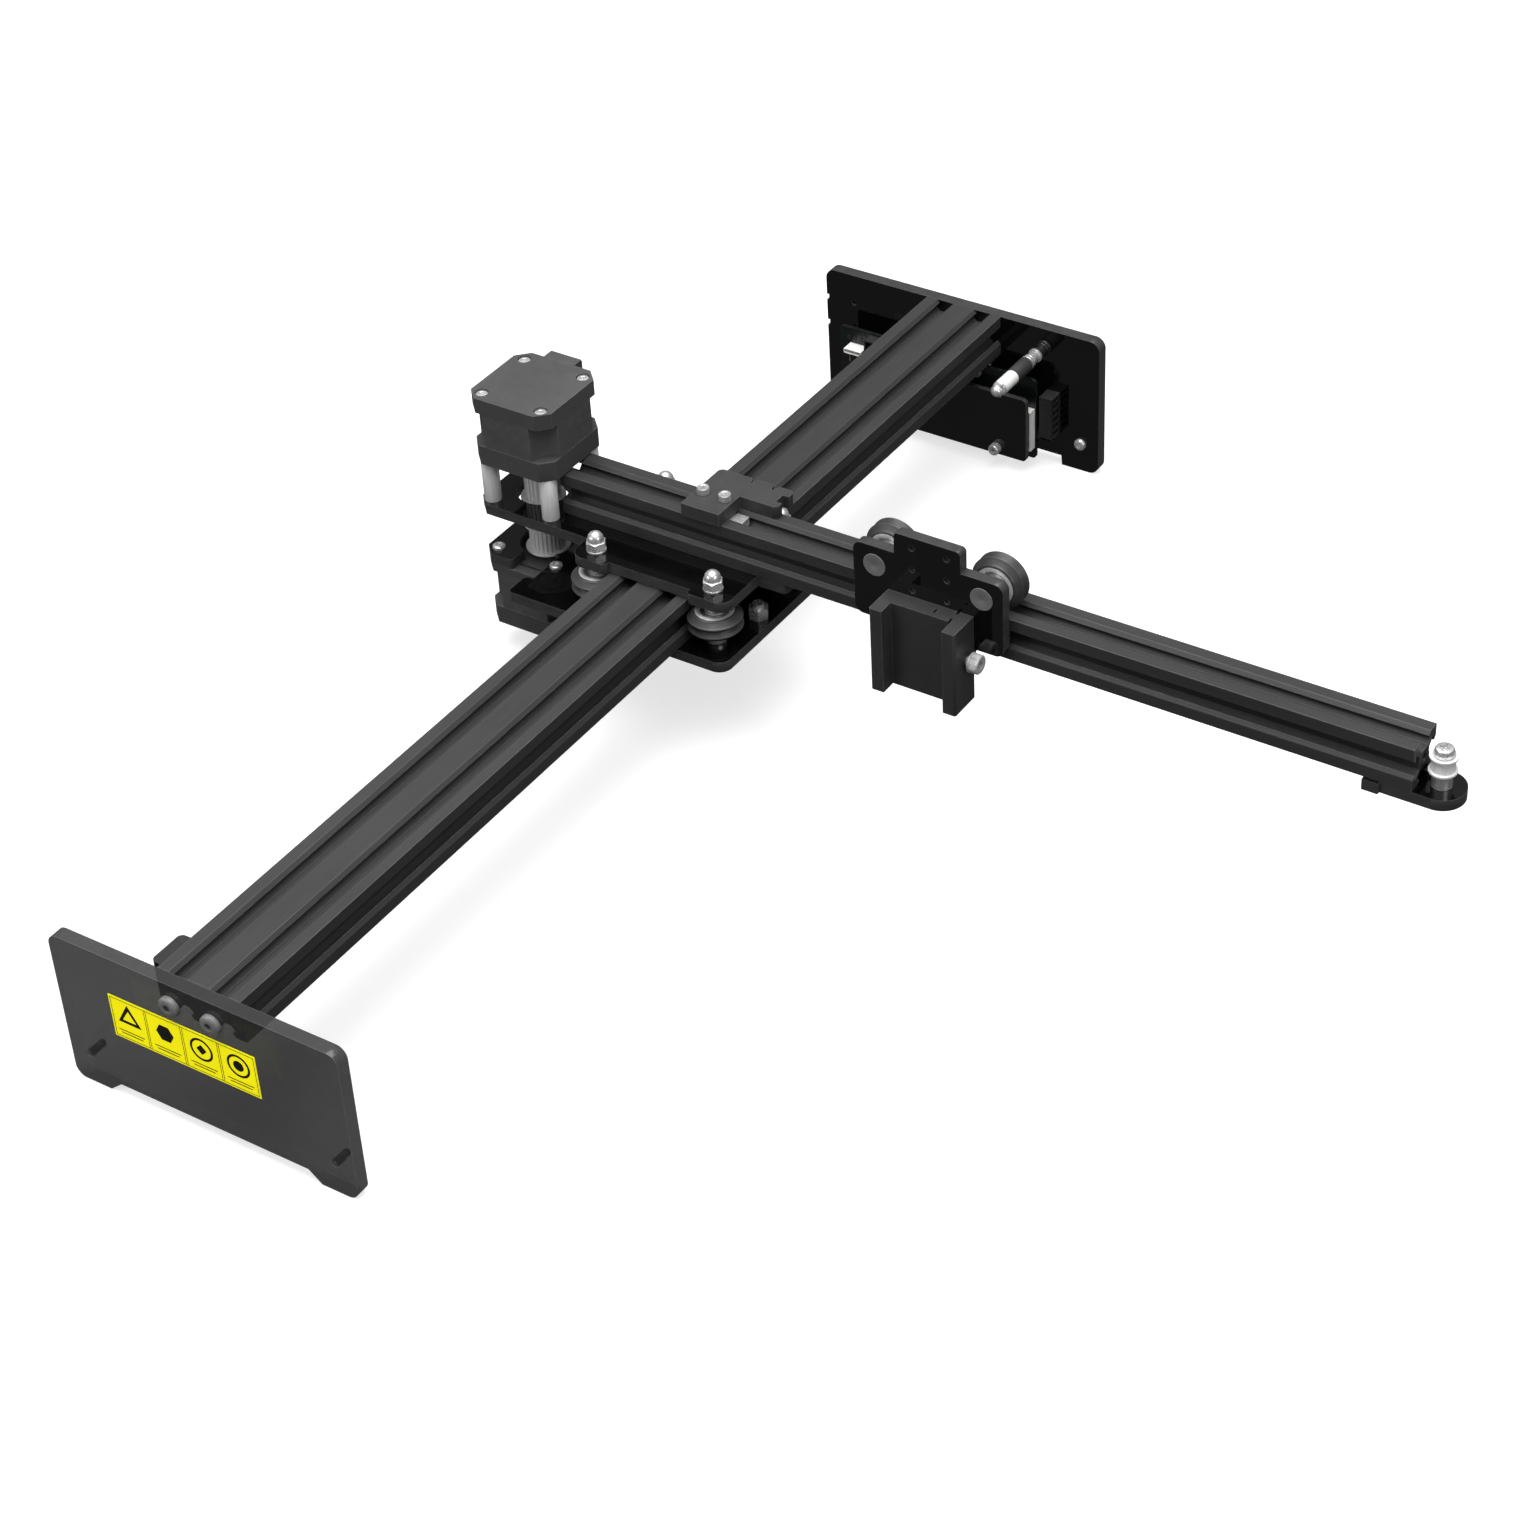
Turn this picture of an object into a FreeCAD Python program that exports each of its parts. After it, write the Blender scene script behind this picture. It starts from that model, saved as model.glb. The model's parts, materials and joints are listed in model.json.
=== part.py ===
import FreeCAD, Part
import math
import os

import Sketcher
from FreeCAD import Placement, Rotation, Vector

# Desktop laser engraver frame: one flat V-slot rail between two end plates, a wheeled carriage
# that runs along it, and a V-slot arm on the carriage that carries the laser carriage.
# Origin: middle of the bounding box on the surface the feet stand on.
# +X runs along the arm from the motors to the tip, +Y along the rail to the rear, +Z up.

DRIVING_DIMENSIONS = {
    # rail and V-slot profile
    "railLength": 555.0,
    "railWidth": 40.0,
    "profileSize": 20.0,
    "railX": -129.1,
    "railTopZ": 71.5,
    "slotMouth": 9.16,
    "slotThroat": 6.2,
    "slotLip": 1.8,
    "slotCavity": 11.0,
    "slotShoulder": 3.0,
    "slotFloor": 5.6,
    "slotDepth": 5.7,
    "coreHoleRadius": 2.1,
    # end plates
    "endPlateThickness": 6.0,
    "endPlateHeight": 71.5,
    "frontPlateWidth": 139.0,
    "rearPlateWidth": 149.0,
    "rearPlateShift": -2.0,
    "footWidth": 17.5,
    "rearFootWidth": 19.5,
    "footRise": 5.0,
    "footSlope": 6.0,
    "endPlateCorner": 5.0,
    "endScrewSpacing": 20.0,
    "cornerBoltInset": 9.5,
    "cornerBoltHeight": 14.5,
    # long carriage
    "carriageY": 46.9,
    "wheelRadius": 12.0,
    "wheelWidth": 10.2,
    "wheelOffset": 9.85,
    "wheelPitch": 52.9,
    "wheelClearance": 0.2,
    "spacerLength": 5.4,
    "plateThickness": 5.0,
    "upperPlateRight": 41.0,
    "upperPlateEar": 8.4,
    "lowerPlateRight": 43.0,
    "lowerPlateFront": 41.0,
    "lowerPlateRear": 39.5,
    "axleRadius": 2.5,
    # motors
    "motorX": -77.0,
    "motorSide": 42.3,
    "motorChamfer": 5.6,
    "motorScrewPitch": 31.0,
    "motorShaftRadius": 2.5,
    "armMotorHeight": 33.2,
    "railMotorHeight": 31.5,
    "standoffLength": 20.7,
    "standoffRadius": 3.85,
    "pulleyFlangeRadius": 10.0,
    "pulleyRadius": 7.9,
    # arm
    "armStartX": -58.5,
    "armLength": 396.9,
    "tipAxisX": 346.3,
    "tipPlateRadius": 10.0,
    "tipPlateThickness": 5.0,
    "idlerRadius": 5.75,
    # laser carriage
    "laserX": 128.0,
    "laserPlateWidth": 70.0,
    "laserPlateThickness": 5.0,
    "laserAxlePitch": 50.0,
    "holderWidth": 40.0,
    "holderHeight": 40.3,
    "holderDepth": 15.4,
    "holderShift": 1.3,
    "holderFlange": 6.0,
    "holderChannel": 7.5,
    # control board
    "boardGap": 7.4,
    "boardThickness": 1.6,
    "coverGap": 4.5,
    "coverThickness": 2.5,
}

doc = FreeCAD.newDocument("LaserEngraverFrame")
sheet = doc.addObject("Spreadsheet::Sheet", "Dims")


class Size:
    """A length known both as a number and as the sheet expression that gives it."""

    def __init__(self, value, text):
        self.value = value
        self.text = text

    def __add__(self, other):
        other = as_size(other)
        return Size(self.value + other.value, f"({self.text} + {other.text})")

    def __radd__(self, other):
        return as_size(other) + self

    def __sub__(self, other):
        other = as_size(other)
        return Size(self.value - other.value, f"({self.text} - {other.text})")

    def __rsub__(self, other):
        return as_size(other) - self

    def __mul__(self, factor):
        return Size(self.value * factor, f"({self.text} * {factor:.6g})")

    def __rmul__(self, factor):
        return self * factor

    def __truediv__(self, divisor):
        return Size(self.value / divisor, f"({self.text} / {divisor:.6g})")

    def __neg__(self):
        return self * -1


def as_size(value):
    return value if isinstance(value, Size) else Size(float(value), f"{float(value):.6g}")


def fill_sheet():
    sizes = {}
    for row, (alias, value) in enumerate(DRIVING_DIMENSIONS.items(), start=1):
        sheet.set(f"A{row}", alias)
        sheet.set(f"B{row}", str(value))
        sheet.setAlias(f"B{row}", alias)
        sizes[alias] = Size(value, f"Dims.{alias}")
    doc.recompute()
    return sizes


D = fill_sheet()

# ---------------------------------------------------------------- builders

nodes = []


def keep(obj, label):
    """Mark an object as one of the finished sub-parts."""
    obj.Label = label
    nodes.append(obj)
    return obj


def bind(obj, **sizes):
    for path, size in sizes.items():
        obj.setExpression(path, as_size(size).text)


def turn_to(axis):
    return Rotation(Vector(0, 0, 1), Vector(*axis))


def place(obj, at, axis=(0, 0, 1)):
    """Put an object's own origin at a point given by sizes, its own Z along the axis."""
    spot = [as_size(size) for size in at]
    obj.Placement = Placement(Vector(*[size.value for size in spot]), turn_to(axis))
    for letter, size in zip("xyz", spot):
        obj.setExpression(f"Placement.Base.{letter}", size.text)
    return obj


def new_sketch(body, plane):
    sketch = body.newObject("Sketcher::SketchObject", body.Name + "Sketch")
    support = [item for item in body.Origin.OriginFeatures if item.Role == plane][0]
    sketch.AttachmentSupport = [(support, "")]
    sketch.MapMode = "FlatFace"
    return sketch


def pin_point(sketch, geometry, corner, point):
    """Fix a sketch point at two sizes measured from the sketch's origin."""
    for kind, size in zip(("DistanceX", "DistanceY"), point):
        size = as_size(size)
        index = sketch.addConstraint(Sketcher.Constraint(kind, -1, 1, geometry, corner, size.value))
        sketch.setExpression(f"Constraints[{index}]", size.text)


def draw_polygon(sketch, points):
    """A closed outline of straight lines, every corner pinned to its sizes."""
    corners = [Vector(as_size(x).value, as_size(y).value, 0) for x, y in points]
    first = len(sketch.Geometry)
    count = len(corners)
    for index in range(count):
        sketch.addGeometry(Part.LineSegment(corners[index], corners[(index + 1) % count]), False)
    for index in range(count):
        following = first + (index + 1) % count
        sketch.addConstraint(Sketcher.Constraint("Coincident", first + index, 2, following, 1))
    for index, point in enumerate(points):
        pin_point(sketch, first + index, 1, point)


def draw_circle(sketch, centre, radius):
    radius = as_size(radius)
    middle = Vector(as_size(centre[0]).value, as_size(centre[1]).value, 0)
    index = sketch.addGeometry(Part.Circle(middle, Vector(0, 0, 1), radius.value), False)
    pin_point(sketch, index, 3, centre)
    constraint = sketch.addConstraint(Sketcher.Constraint("Radius", index, radius.value))
    sketch.setExpression(f"Constraints[{constraint}]", radius.text)


def padded(label, outline, thickness, plane="XY_Plane", holes=(), at=(0, 0, 0)):
    """A plate: an outline with round holes, padded along the plane's normal."""
    body = doc.addObject("PartDesign::Body", label + "Body")
    sketch = new_sketch(body, plane)
    draw_polygon(sketch, outline)
    for centre, radius in holes:
        draw_circle(sketch, centre, radius)
    pad = body.newObject("PartDesign::Pad", label + "Pad")
    pad.Profile = sketch
    bind(pad, Length=thickness)
    place(body, at)
    doc.recompute()
    return keep(body, label)


def pocket(body, outline, plane="XY_Plane", circles=()):
    """Cut an outline or circles right through a body, both ways from the plane."""
    sketch = new_sketch(body, plane)
    if outline:
        draw_polygon(sketch, outline)
    for centre, radius in circles:
        draw_circle(sketch, centre, radius)
    cut = body.newObject("PartDesign::Pocket", body.Name + "Pocket")
    cut.Profile = sketch
    cut.Type = 1
    cut.Midplane = True
    doc.recompute()
    return cut


def round_edges(body, corners, radius, along):
    """Round the straight edges that run along an axis of the body through the given corners."""
    others = [index for index in range(3) if index != "xyz".index(along)]
    wanted = [[as_size(size).value for size in corner] for corner in corners]
    solid = body.Tip
    names = []
    for number, edge in enumerate(solid.Shape.Edges, start=1):
        ends = [vertex.Point for vertex in edge.Vertexes]
        if len(ends) != 2 or not isinstance(edge.Curve, Part.Line):
            continue
        for corner in wanted:
            misses = [abs(end[axis] - value) for end in ends for axis, value in zip(others, corner)]
            if max(misses) < 0.01:
                names.append(f"Edge{number}")
    fillet = body.newObject("PartDesign::Fillet", body.Name + "Round")
    fillet.Base = (solid, names)
    bind(fillet, Radius=radius)
    doc.recompute()


def turned(label, profile, at=(0, 0, 0), axis=(0, 0, 1)):
    """A lathe part: a closed (radius, height) outline turned about its own Z."""
    body = doc.addObject("PartDesign::Body", label + "Body")
    sketch = new_sketch(body, "XZ_Plane")
    draw_polygon(sketch, profile)
    revolution = body.newObject("PartDesign::Revolution", label + "Turn")
    revolution.Profile = sketch
    revolution.ReferenceAxis = (sketch, ["V_Axis"])
    revolution.Angle = 360.0
    place(body, at, axis)
    doc.recompute()
    return body


def box(name, low, size):
    block = doc.addObject("Part::Box", name)
    bind(block, Length=size[0], Width=size[1], Height=size[2])
    return place(block, low)


def cylinder(name, at, radius, height, axis=(0, 0, 1)):
    rod = doc.addObject("Part::Cylinder", name)
    bind(rod, Radius=radius, Height=height)
    return place(rod, at, axis)


def tube(name, at, radius, bore, height, axis=(0, 0, 1)):
    """A round spacer with a clear bore right through it."""
    outer = cylinder(name + "Outer", at, radius, height, axis)
    inner = cylinder(name + "Inner", stepped(at, axis, -1), bore, as_size(height) + 2, axis)
    return cut(name, outer, inner)


def hex_prism(name, at, across_flats, height, axis=(0, 0, 1)):
    prism = doc.addObject("Part::Prism", name)
    prism.Polygon = 6
    bind(prism, Circumradius=as_size(across_flats) / math.sqrt(3), Height=height)
    return place(prism, at, axis)


def cut(name, base, tool):
    result = doc.addObject("Part::Cut", name)
    result.Base = base
    result.Tool = tool
    return result


def fused(name, shapes):
    result = doc.addObject("Part::MultiFuse", name)
    result.Shapes = shapes
    result.Refine = True
    return result


def group(label, members):
    """Several identical solids kept together as one sub-part."""
    compound = doc.addObject("Part::Compound", label + "Group")
    compound.Links = members
    doc.recompute()
    return keep(compound, label)


def stepped(at, axis, distance):
    """The point a distance further along an axis."""
    return [as_size(size) + distance * part for size, part in zip(at, axis)]


def socket_screw(name, at, axis, head_radius, head_height, shank_radius, shank_length, socket):
    """A screw whose head stands on the point, its shank running the other way."""
    head = cylinder(name + "Head", at, head_radius, head_height, axis)
    back = [-part for part in axis]
    shank = cylinder(name + "Shank", at, shank_radius, shank_length, back)
    key = hex_prism(name + "Key", stepped(at, axis, head_height * 0.45), socket, head_height, axis)
    return cut(name, fused(name + "Blank", [head, shank]), key)


def corners_of(half_x, half_y):
    return [(sx * half_x, sy * half_y) for sy in (-1, 1) for sx in (-1, 1)]


# ---------------------------------------------------------------- V-slot profiles

def slot_half(side):
    """The corners of half a slot, as (offset from its centre line, depth)."""
    slope = (D["slotMouth"] - D["slotThroat"]) / 2
    steps = [
        (D["slotMouth"] / 2, as_size(0)),
        (D["slotThroat"] / 2, slope),
        (D["slotThroat"] / 2, D["slotLip"]),
        (D["slotCavity"] / 2, D["slotLip"]),
        (D["slotCavity"] / 2, D["slotShoulder"]),
        (D["slotFloor"] / 2, D["slotDepth"]),
    ]
    return [(side * offset, depth) for offset, depth in steps]


def slotted_face(start, direction, inward, centres):
    """One face of a profile: its first corner, then every slot met on the way along it."""
    points = [start]
    for centre in centres:
        for offset, depth in slot_half(-1) + slot_half(1)[::-1]:
            along = centre + offset
            points.append(tuple(start[axis] + along * direction[axis] + depth * inward[axis]
                                for axis in (0, 1)))
    return points


def profile_outline(width, height, wide_slots, tall_slots):
    """A V-slot section centred on its origin, going round anticlockwise from bottom left."""
    left, bottom = width / -2, height / -2
    right, top = width / 2, height / 2
    return (slotted_face((left, bottom), (1, 0), (0, 1), wide_slots)
            + slotted_face((right, bottom), (0, 1), (-1, 0), tall_slots)
            + slotted_face((right, top), (-1, 0), (0, -1), wide_slots)
            + slotted_face((left, top), (0, -1), (1, 0), tall_slots))


half_profile = D["profileSize"] / 2
rail_mid_z = D["railTopZ"] - half_profile
rail_half = D["railLength"] / 2
rail_slots = [D["railWidth"] / 4, D["railWidth"] * 0.75]


def make_rail():
    outline = profile_outline(D["railWidth"], D["profileSize"], rail_slots, [half_profile])
    bores = [((side * D["railWidth"] / 4, 0), D["coreHoleRadius"]) for side in (-1, 1)]
    padded("rail", outline, D["railLength"], "XZ_Plane", bores, (D["railX"], rail_half, rail_mid_z))


# ---------------------------------------------------------------- end plates

def end_plate(label, width, foot, slope, inner_y, shift, direction):
    """An upright plate with two feet; direction is +1 when it lies beyond its inner face."""
    half = width / 2
    height, rise = D["endPlateHeight"], D["footRise"]
    outline = [(-half, 0), (-half + foot, 0), (-half + foot + slope, rise),
               (half - foot - slope, rise), (half - foot, 0), (half, 0),
               (half, height), (-half, height)]
    screw_x = D["endScrewSpacing"] / 2
    bolt_x = half - D["cornerBoltInset"]
    holes = [((side * screw_x - shift, rail_mid_z), 2.7) for side in (-1, 1)]
    holes += [((side * bolt_x, D["cornerBoltHeight"]), 1.7) for side in (-1, 1)]
    outer_y = inner_y + D["endPlateThickness"] if direction > 0 else inner_y
    body = padded(label, outline, D["endPlateThickness"], "XZ_Plane", holes,
                  (D["railX"] + shift, outer_y, 0))
    corners = [(-half, 0), (half, 0), (half, height), (-half, height)]
    round_edges(body, corners, D["endPlateCorner"], "y")
    return body


def make_end_plates():
    end_plate("front_plate", D["frontPlateWidth"], D["footWidth"], D["footSlope"],
              -rail_half, 0, -1)
    rear = end_plate("rear_plate", D["rearPlateWidth"], D["rearFootWidth"], 0.4,
                     rail_half, D["rearPlateShift"], 1)
    left = D["rearPlateWidth"] / -2
    top = D["endPlateHeight"]
    pocket(rear, None, "XZ_Plane", [((left + 15.5, top - 15), 1.3), ((left + 15.5, top - 28), 1.3)])
    for drop in (14, 28):
        pocket(rear, [(left - 1, top - drop), (left + 1.2, top - drop),
                      (left + 1.2, top - drop - 3), (left - 1, top - drop - 3)], "XZ_Plane")


def make_end_fasteners():
    front_face = -rail_half - D["endPlateThickness"]
    rear_face = rail_half + D["endPlateThickness"]
    screws = []
    bolts = []
    for end, face, axis in (("Front", front_face, (0, -1, 0)), ("Rear", rear_face, (0, 1, 0))):
        for side in (-1, 1):
            spot = (D["railX"] + side * D["endScrewSpacing"] / 2, face, rail_mid_z)
            screws.append(socket_screw(f"endScrew{end}{side + 1}", spot, axis, 4.6, 2.75, 2.0, 16, 3))
    group("rail_end_screws", screws)
    plates = (("Front", D["frontPlateWidth"], 0, -rail_half), ("Rear", D["rearPlateWidth"],
              D["rearPlateShift"], rail_half))
    for end, width, shift, inner in plates:
        axis = (0, 1, 0) if end == "Front" else (0, -1, 0)
        for side in (-1, 1):
            across = D["railX"] + shift + side * (width / 2 - D["cornerBoltInset"])
            spot = (across, inner, D["cornerBoltHeight"])
            bolts.append(socket_screw(f"cornerBolt{end}{side + 1}", spot, axis, 2.9, 2.2, 1.5, 6, 2))
    group("corner_bolts", bolts)


def make_front_trim():
    thickness = 0.2
    label = box("labelSheet", (D["railX"] - 42.7, -rail_half - D["endPlateThickness"] - thickness,
                               D["railTopZ"] - 39), (71.2, thickness, 20.6))
    keep(label, "front_label")
    low = (D["railX"] - D["railWidth"] / 2 - 5, -rail_half + 2, D["railTopZ"] - 17.5)
    anchor = padded("belt_anchor", [(0, 0), (5, 0), (5, 17.5), (0, 17.5)], 17.2, at=low)
    round_edges(anchor, [(0, 0), (0, 17.5)], 2.5, "z")


# ---------------------------------------------------------------- control board on the rear plate

def make_control_board():
    wall = rail_half
    board_back = wall - D["boardGap"]
    board_front = board_back - D["boardThickness"]
    cover_back = board_front - D["coverGap"]
    cover_front = cover_back - D["coverThickness"]
    rail_x, top = D["railX"], D["railTopZ"]
    cover_screws = (-32, 26.5)
    board_fixings = [(-60, -62), (-20, -27), (12, -27)]
    board_posts = board_fixings + [(37, -62)]
    board = padded("control_board", [(-64, -66), (44, -66), (44, -23), (-64, -23)],
                   D["boardThickness"], "XZ_Plane",
                   [(post, 1.6) for post in board_posts], (rail_x, board_back, top))
    round_edges(board, [(-64, -66), (44, -66), (44, -23), (-64, -23)], 2, "y")
    cover = padded("board_cover", [(-36, -64.5), (42.5, -64.5), (42.5, -31), (-36, -31)],
                   D["coverThickness"], "XZ_Plane",
                   [((x, z), 1.6) for x in cover_screws for z in (-61,)], (rail_x, cover_back, top))
    round_edges(cover, [(-36, -64.5), (42.5, -64.5), (42.5, -31), (-36, -31)], 2, "y")
    posts = []
    for number, (x, z) in enumerate(board_posts):
        posts.append(tube(f"boardPost{number}", (rail_x + x, wall, top + z), 2.75, 1.5,
                          D["boardGap"], (0, -1, 0)))
    for number, x in enumerate(cover_screws):
        posts.append(tube(f"coverPost{number}", (rail_x + x, board_front, top - 61), 2.75, 1.5,
                          D["coverGap"], (0, -1, 0)))
    group("board_standoffs", posts)
    screws = []
    for number, (x, z) in enumerate(board_fixings):
        screws.append(socket_screw(f"boardScrew{number}", (rail_x + x, board_front, top + z),
                                   (0, -1, 0), 2.8, 1.8, 1.4, 5, 2))
    for number, x in enumerate(cover_screws):
        screws.append(socket_screw(f"coverScrew{number}", (rail_x + x, cover_front, top - 61),
                                   (0, -1, 0), 2.8, 3.6, 1.4, 6, 2))
    group("board_screws", screws)
    sockets = [box("socketRight", (rail_x + 38.6, cover_back + 0.2, top - 60), (4.8, 4.3, 21.5)),
               box("socketLeft", (rail_x - 58, cover_back - 2, top - 33.5), (9.5, 6.5, 2.5))]
    group("board_sockets", sockets)
    blocks = [box("blockRight", (rail_x + 45, wall - 8, top - 54), (7, 8, 22)),
              box("blockLow", (rail_x - 48, cover_back - 3, top - 45), (11, 7.5, 13)),
              box("blockHigh", (rail_x - 47, cover_back - 1, top - 31), (10, 5.5, 7))]
    group("board_headers", blocks)


def make_end_stop():
    """A post on the rear plate that the rear right wheel stops against."""
    x, z = D["railX"] + 38.8, D["railTopZ"] - 15.3
    back = (0, -1, 0)
    wall = rail_half
    rod = cylinder("stopRod", (x, wall, z), 2.0, 36, back)
    collar = cylinder("stopCollar", (x, wall, z), 3.0, 8, back)
    nut = hex_prism("stopHex", (x, wall - 33.5, z), 7, 4, back)
    dome = doc.addObject("Part::Sphere", "stopDome")
    bind(dome, Radius=3.0)
    place(dome, (x, wall - 36, z))
    keep(fused("stopPostAll", [rod, collar, nut, dome]), "stop_post")
    for name, label, radius, start, length in (("stopSleeve", "stop_buffer", 3.7, 9.5, 12),
                                               ("stopRing", "stop_spacer", 3.5, 21.8, 11.4)):
        outer = cylinder(name, (x, wall - start, z), radius, length, back)
        bore = cylinder(name + "Bore", (x, wall - start + 1, z), 2.0, length + 2, back)
        keep(cut(name + "Cut", outer, bore), label)
    doc.recompute()


# ---------------------------------------------------------------- long carriage

wheel_line = D["railWidth"] / 2 + D["wheelOffset"]
stack_half = D["wheelWidth"] / 2 + D["spacerLength"]
upper_bottom = rail_mid_z + stack_half
upper_top = upper_bottom + D["plateThickness"]
lower_top = rail_mid_z - stack_half
lower_bottom = lower_top - D["plateThickness"]
motor_half = D["motorSide"] / 2
motor_x = D["railX"] + D["motorX"]


def axle_holes():
    return [((sx * wheel_line, sy * D["wheelPitch"] / 2), D["axleRadius"])
            for sx in (-1, 1) for sy in (-1, 1)]


def motor_holes(radius):
    pitch = D["motorScrewPitch"] / 2
    return [((D["motorX"] + sx * pitch, sy * pitch), radius) for sx, sy in corners_of(1, 1)]


def make_upper_plate():
    ear = D["wheelPitch"] / 2 + D["upperPlateEar"]
    right, left = D["upperPlateRight"], -wheel_line - D["upperPlateEar"]
    motor_left = D["motorX"] - motor_half
    bevel = D["motorChamfer"]
    recess = ear - 3
    outline = [(motor_left, bevel - motor_half), (motor_left + bevel, -motor_half),
               (left, -motor_half), (left, -ear), (-20, -ear), (-20, -recess),
               (21.5, -recess), (21.5, -ear), (right, -ear), (right, -9.7), (55, -9.7),
               (55, 10), (right, 10), (right, ear), (left, ear), (left, motor_half),
               (motor_left + bevel, motor_half), (motor_left, motor_half - bevel)]
    holes = axle_holes() + motor_holes(1.7) + [((D["motorX"], 0), 11.5)]
    plate = padded("upper_plate", outline, D["plateThickness"], "XY_Plane", holes,
                   (D["railX"], D["carriageY"], upper_bottom))
    ear_tips = [(left, -ear), (right, -ear), (right, ear), (left, ear)]
    round_edges(plate, ear_tips, 6, "z")
    round_edges(plate, [(-20, -ear), (21.5, -ear), (55, -9.7), (55, 10)], 2, "z")


def make_lower_plate():
    front, rear = D["lowerPlateFront"], D["lowerPlateRear"]
    right, left = D["lowerPlateRight"], as_size(-45)
    motor_left = D["motorX"] - motor_half
    bevel = D["motorChamfer"]
    mouth_left, mouth_right = D["motorX"] - 4.5, D["motorX"] + 12
    ledge_x, ledge_y = as_size(-69), -front + 13
    outline = [(ledge_x, -front), (right, -front), (right, rear), (left, rear), (left, motor_half),
               (motor_left + bevel, motor_half), (motor_left, motor_half - bevel),
               (motor_left, bevel - motor_half), (motor_left + bevel, -motor_half),
               (mouth_left, -motor_half), (mouth_left, -8), (mouth_right, -8),
               (mouth_right, ledge_y), (ledge_x, ledge_y)]
    holes = axle_holes() + motor_holes(1.7)
    plate = padded("lower_plate", outline, D["plateThickness"], "XY_Plane", holes,
                   (D["railX"], D["carriageY"], lower_bottom))
    pocket(plate, None, "XY_Plane", [((D["motorX"], 0), 12.5)])
    round_edges(plate, [(right, -front), (right, rear), (left, rear)], 6, "z")
    round_edges(plate, [(ledge_x, -front), (ledge_x, ledge_y), (mouth_left, -motor_half)], 2, "z")


def make_eccentric_nut():
    """The hexagon nut and stud that stand on the lower plate beside the wheel."""
    at = (D["railX"] + 36.2, D["carriageY"] - 3.5, lower_top)
    nut = hex_prism("plateNutHex", at, 8, 5)
    stud = cylinder("plateNutStud", at, 2.5, 7)
    keep(fused("plateNutAll", [nut, stud]), "eccentric_nut")
    doc.recompute()


def acorn_nut(name, at):
    """A long domed nut: hexagon below, turned neck and dome above."""
    hexagon = hex_prism(name + "Hex", at, 8.4, 6.0)
    neck = cylinder(name + "Neck", at, 3.7, 7.4)
    foot = cylinder(name + "Foot", at, 4.3, 1.2)
    dome = doc.addObject("Part::Sphere", name + "Dome")
    bind(dome, Radius=3.7)
    place(dome, stepped(at, (0, 0, 1), 5.6))
    return fused(name, [hexagon, neck, foot, dome])


def make_carriage_axles():
    bolts = []
    spacers = []
    nuts = []
    number = 0
    bolt_length = 2 * stack_half + 2 * D["plateThickness"]
    for sx, sy in corners_of(1, 1):
        x = D["railX"] + sx * wheel_line
        y = D["carriageY"] + sy * D["wheelPitch"] / 2
        head = cylinder(f"axleHead{number}", (x, y, lower_bottom - 2.75), 4.6, 2.75)
        shank = cylinder(f"axleShank{number}", (x, y, lower_bottom), D["axleRadius"], bolt_length)
        bolts.append(fused(f"axleBolt{number}", [head, shank]))
        nuts.append(acorn_nut(f"acornNut{number}", (x, y, upper_top)))
        for name, low in (("Low", lower_top), ("High", rail_mid_z + D["wheelWidth"] / 2 + 0.3)):
            ring = cylinder(f"spacer{name}{number}", (x, y, low), 4.4, D["spacerLength"] - 0.3)
            bore = cylinder(f"spacerBore{name}{number}", (x, y, low - 1), D["axleRadius"],
                            D["spacerLength"] + 2)
            spacers.append(cut(f"spacerRing{name}{number}", ring, bore))
        number += 1
    group("axle_bolts", bolts)
    group("axle_spacers", spacers)
    group("axle_acorn_nuts", nuts)


# ---------------------------------------------------------------- wheels

def wheel_profile():
    """Half section of a dual-V wheel: outer bevels that enter the slot and a groove between."""
    half = D["wheelWidth"] / 2
    gap = D["wheelClearance"]
    surface = D["wheelOffset"]
    mouth = D["slotMouth"] / 2 - gap
    throat = D["slotThroat"] / 2 - gap
    rim = D["wheelRadius"]
    bearing = as_size(8.0)
    upper = [(surface - 0.35, half), (surface, mouth), (surface + mouth - throat, throat),
             (rim, throat - 0.5), (rim, throat - 0.9)]
    lower = [(radius, -height) for radius, height in upper[::-1]]
    return [(bearing, -half), (bearing, half)] + upper + [(rim - 1.9, 0)] + lower


def bearing_profile():
    """Half section of the pair of ball bearings inside a wheel."""
    half = D["wheelWidth"] / 2
    bore = D["axleRadius"] + 0.05
    return [(bore, -half), (4.0, -half), (4.0, -half + 0.5), (6.6, -half + 0.5), (6.6, -half),
            (8.0, -half), (8.0, half), (6.6, half), (6.6, half - 0.5), (4.0, half - 0.5),
            (4.0, half), (bore, half)]


def make_wheel(place_name, at, axis):
    keep(turned(f"wheel_{place_name}", wheel_profile(), at, axis), f"wheel_{place_name}")
    keep(turned(f"bearing_{place_name}", bearing_profile(), at, axis), f"bearing_{place_name}")


def make_rail_wheels():
    names = {(-1, -1): "front_left", (1, -1): "front_right",
             (-1, 1): "rear_left", (1, 1): "rear_right"}
    for (sx, sy), name in names.items():
        at = (D["railX"] + sx * wheel_line, D["carriageY"] + sy * D["wheelPitch"] / 2, rail_mid_z)
        make_wheel(name, at, (0, 0, 1))


# ---------------------------------------------------------------- motors and pulleys

def motor_outline(side, bevel):
    half = side / 2
    return [(half - bevel, -half), (half, bevel - half), (half, half - bevel), (half - bevel, half),
            (bevel - half, half), (-half, half - bevel), (-half, bevel - half), (bevel - half, -half)]


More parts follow.
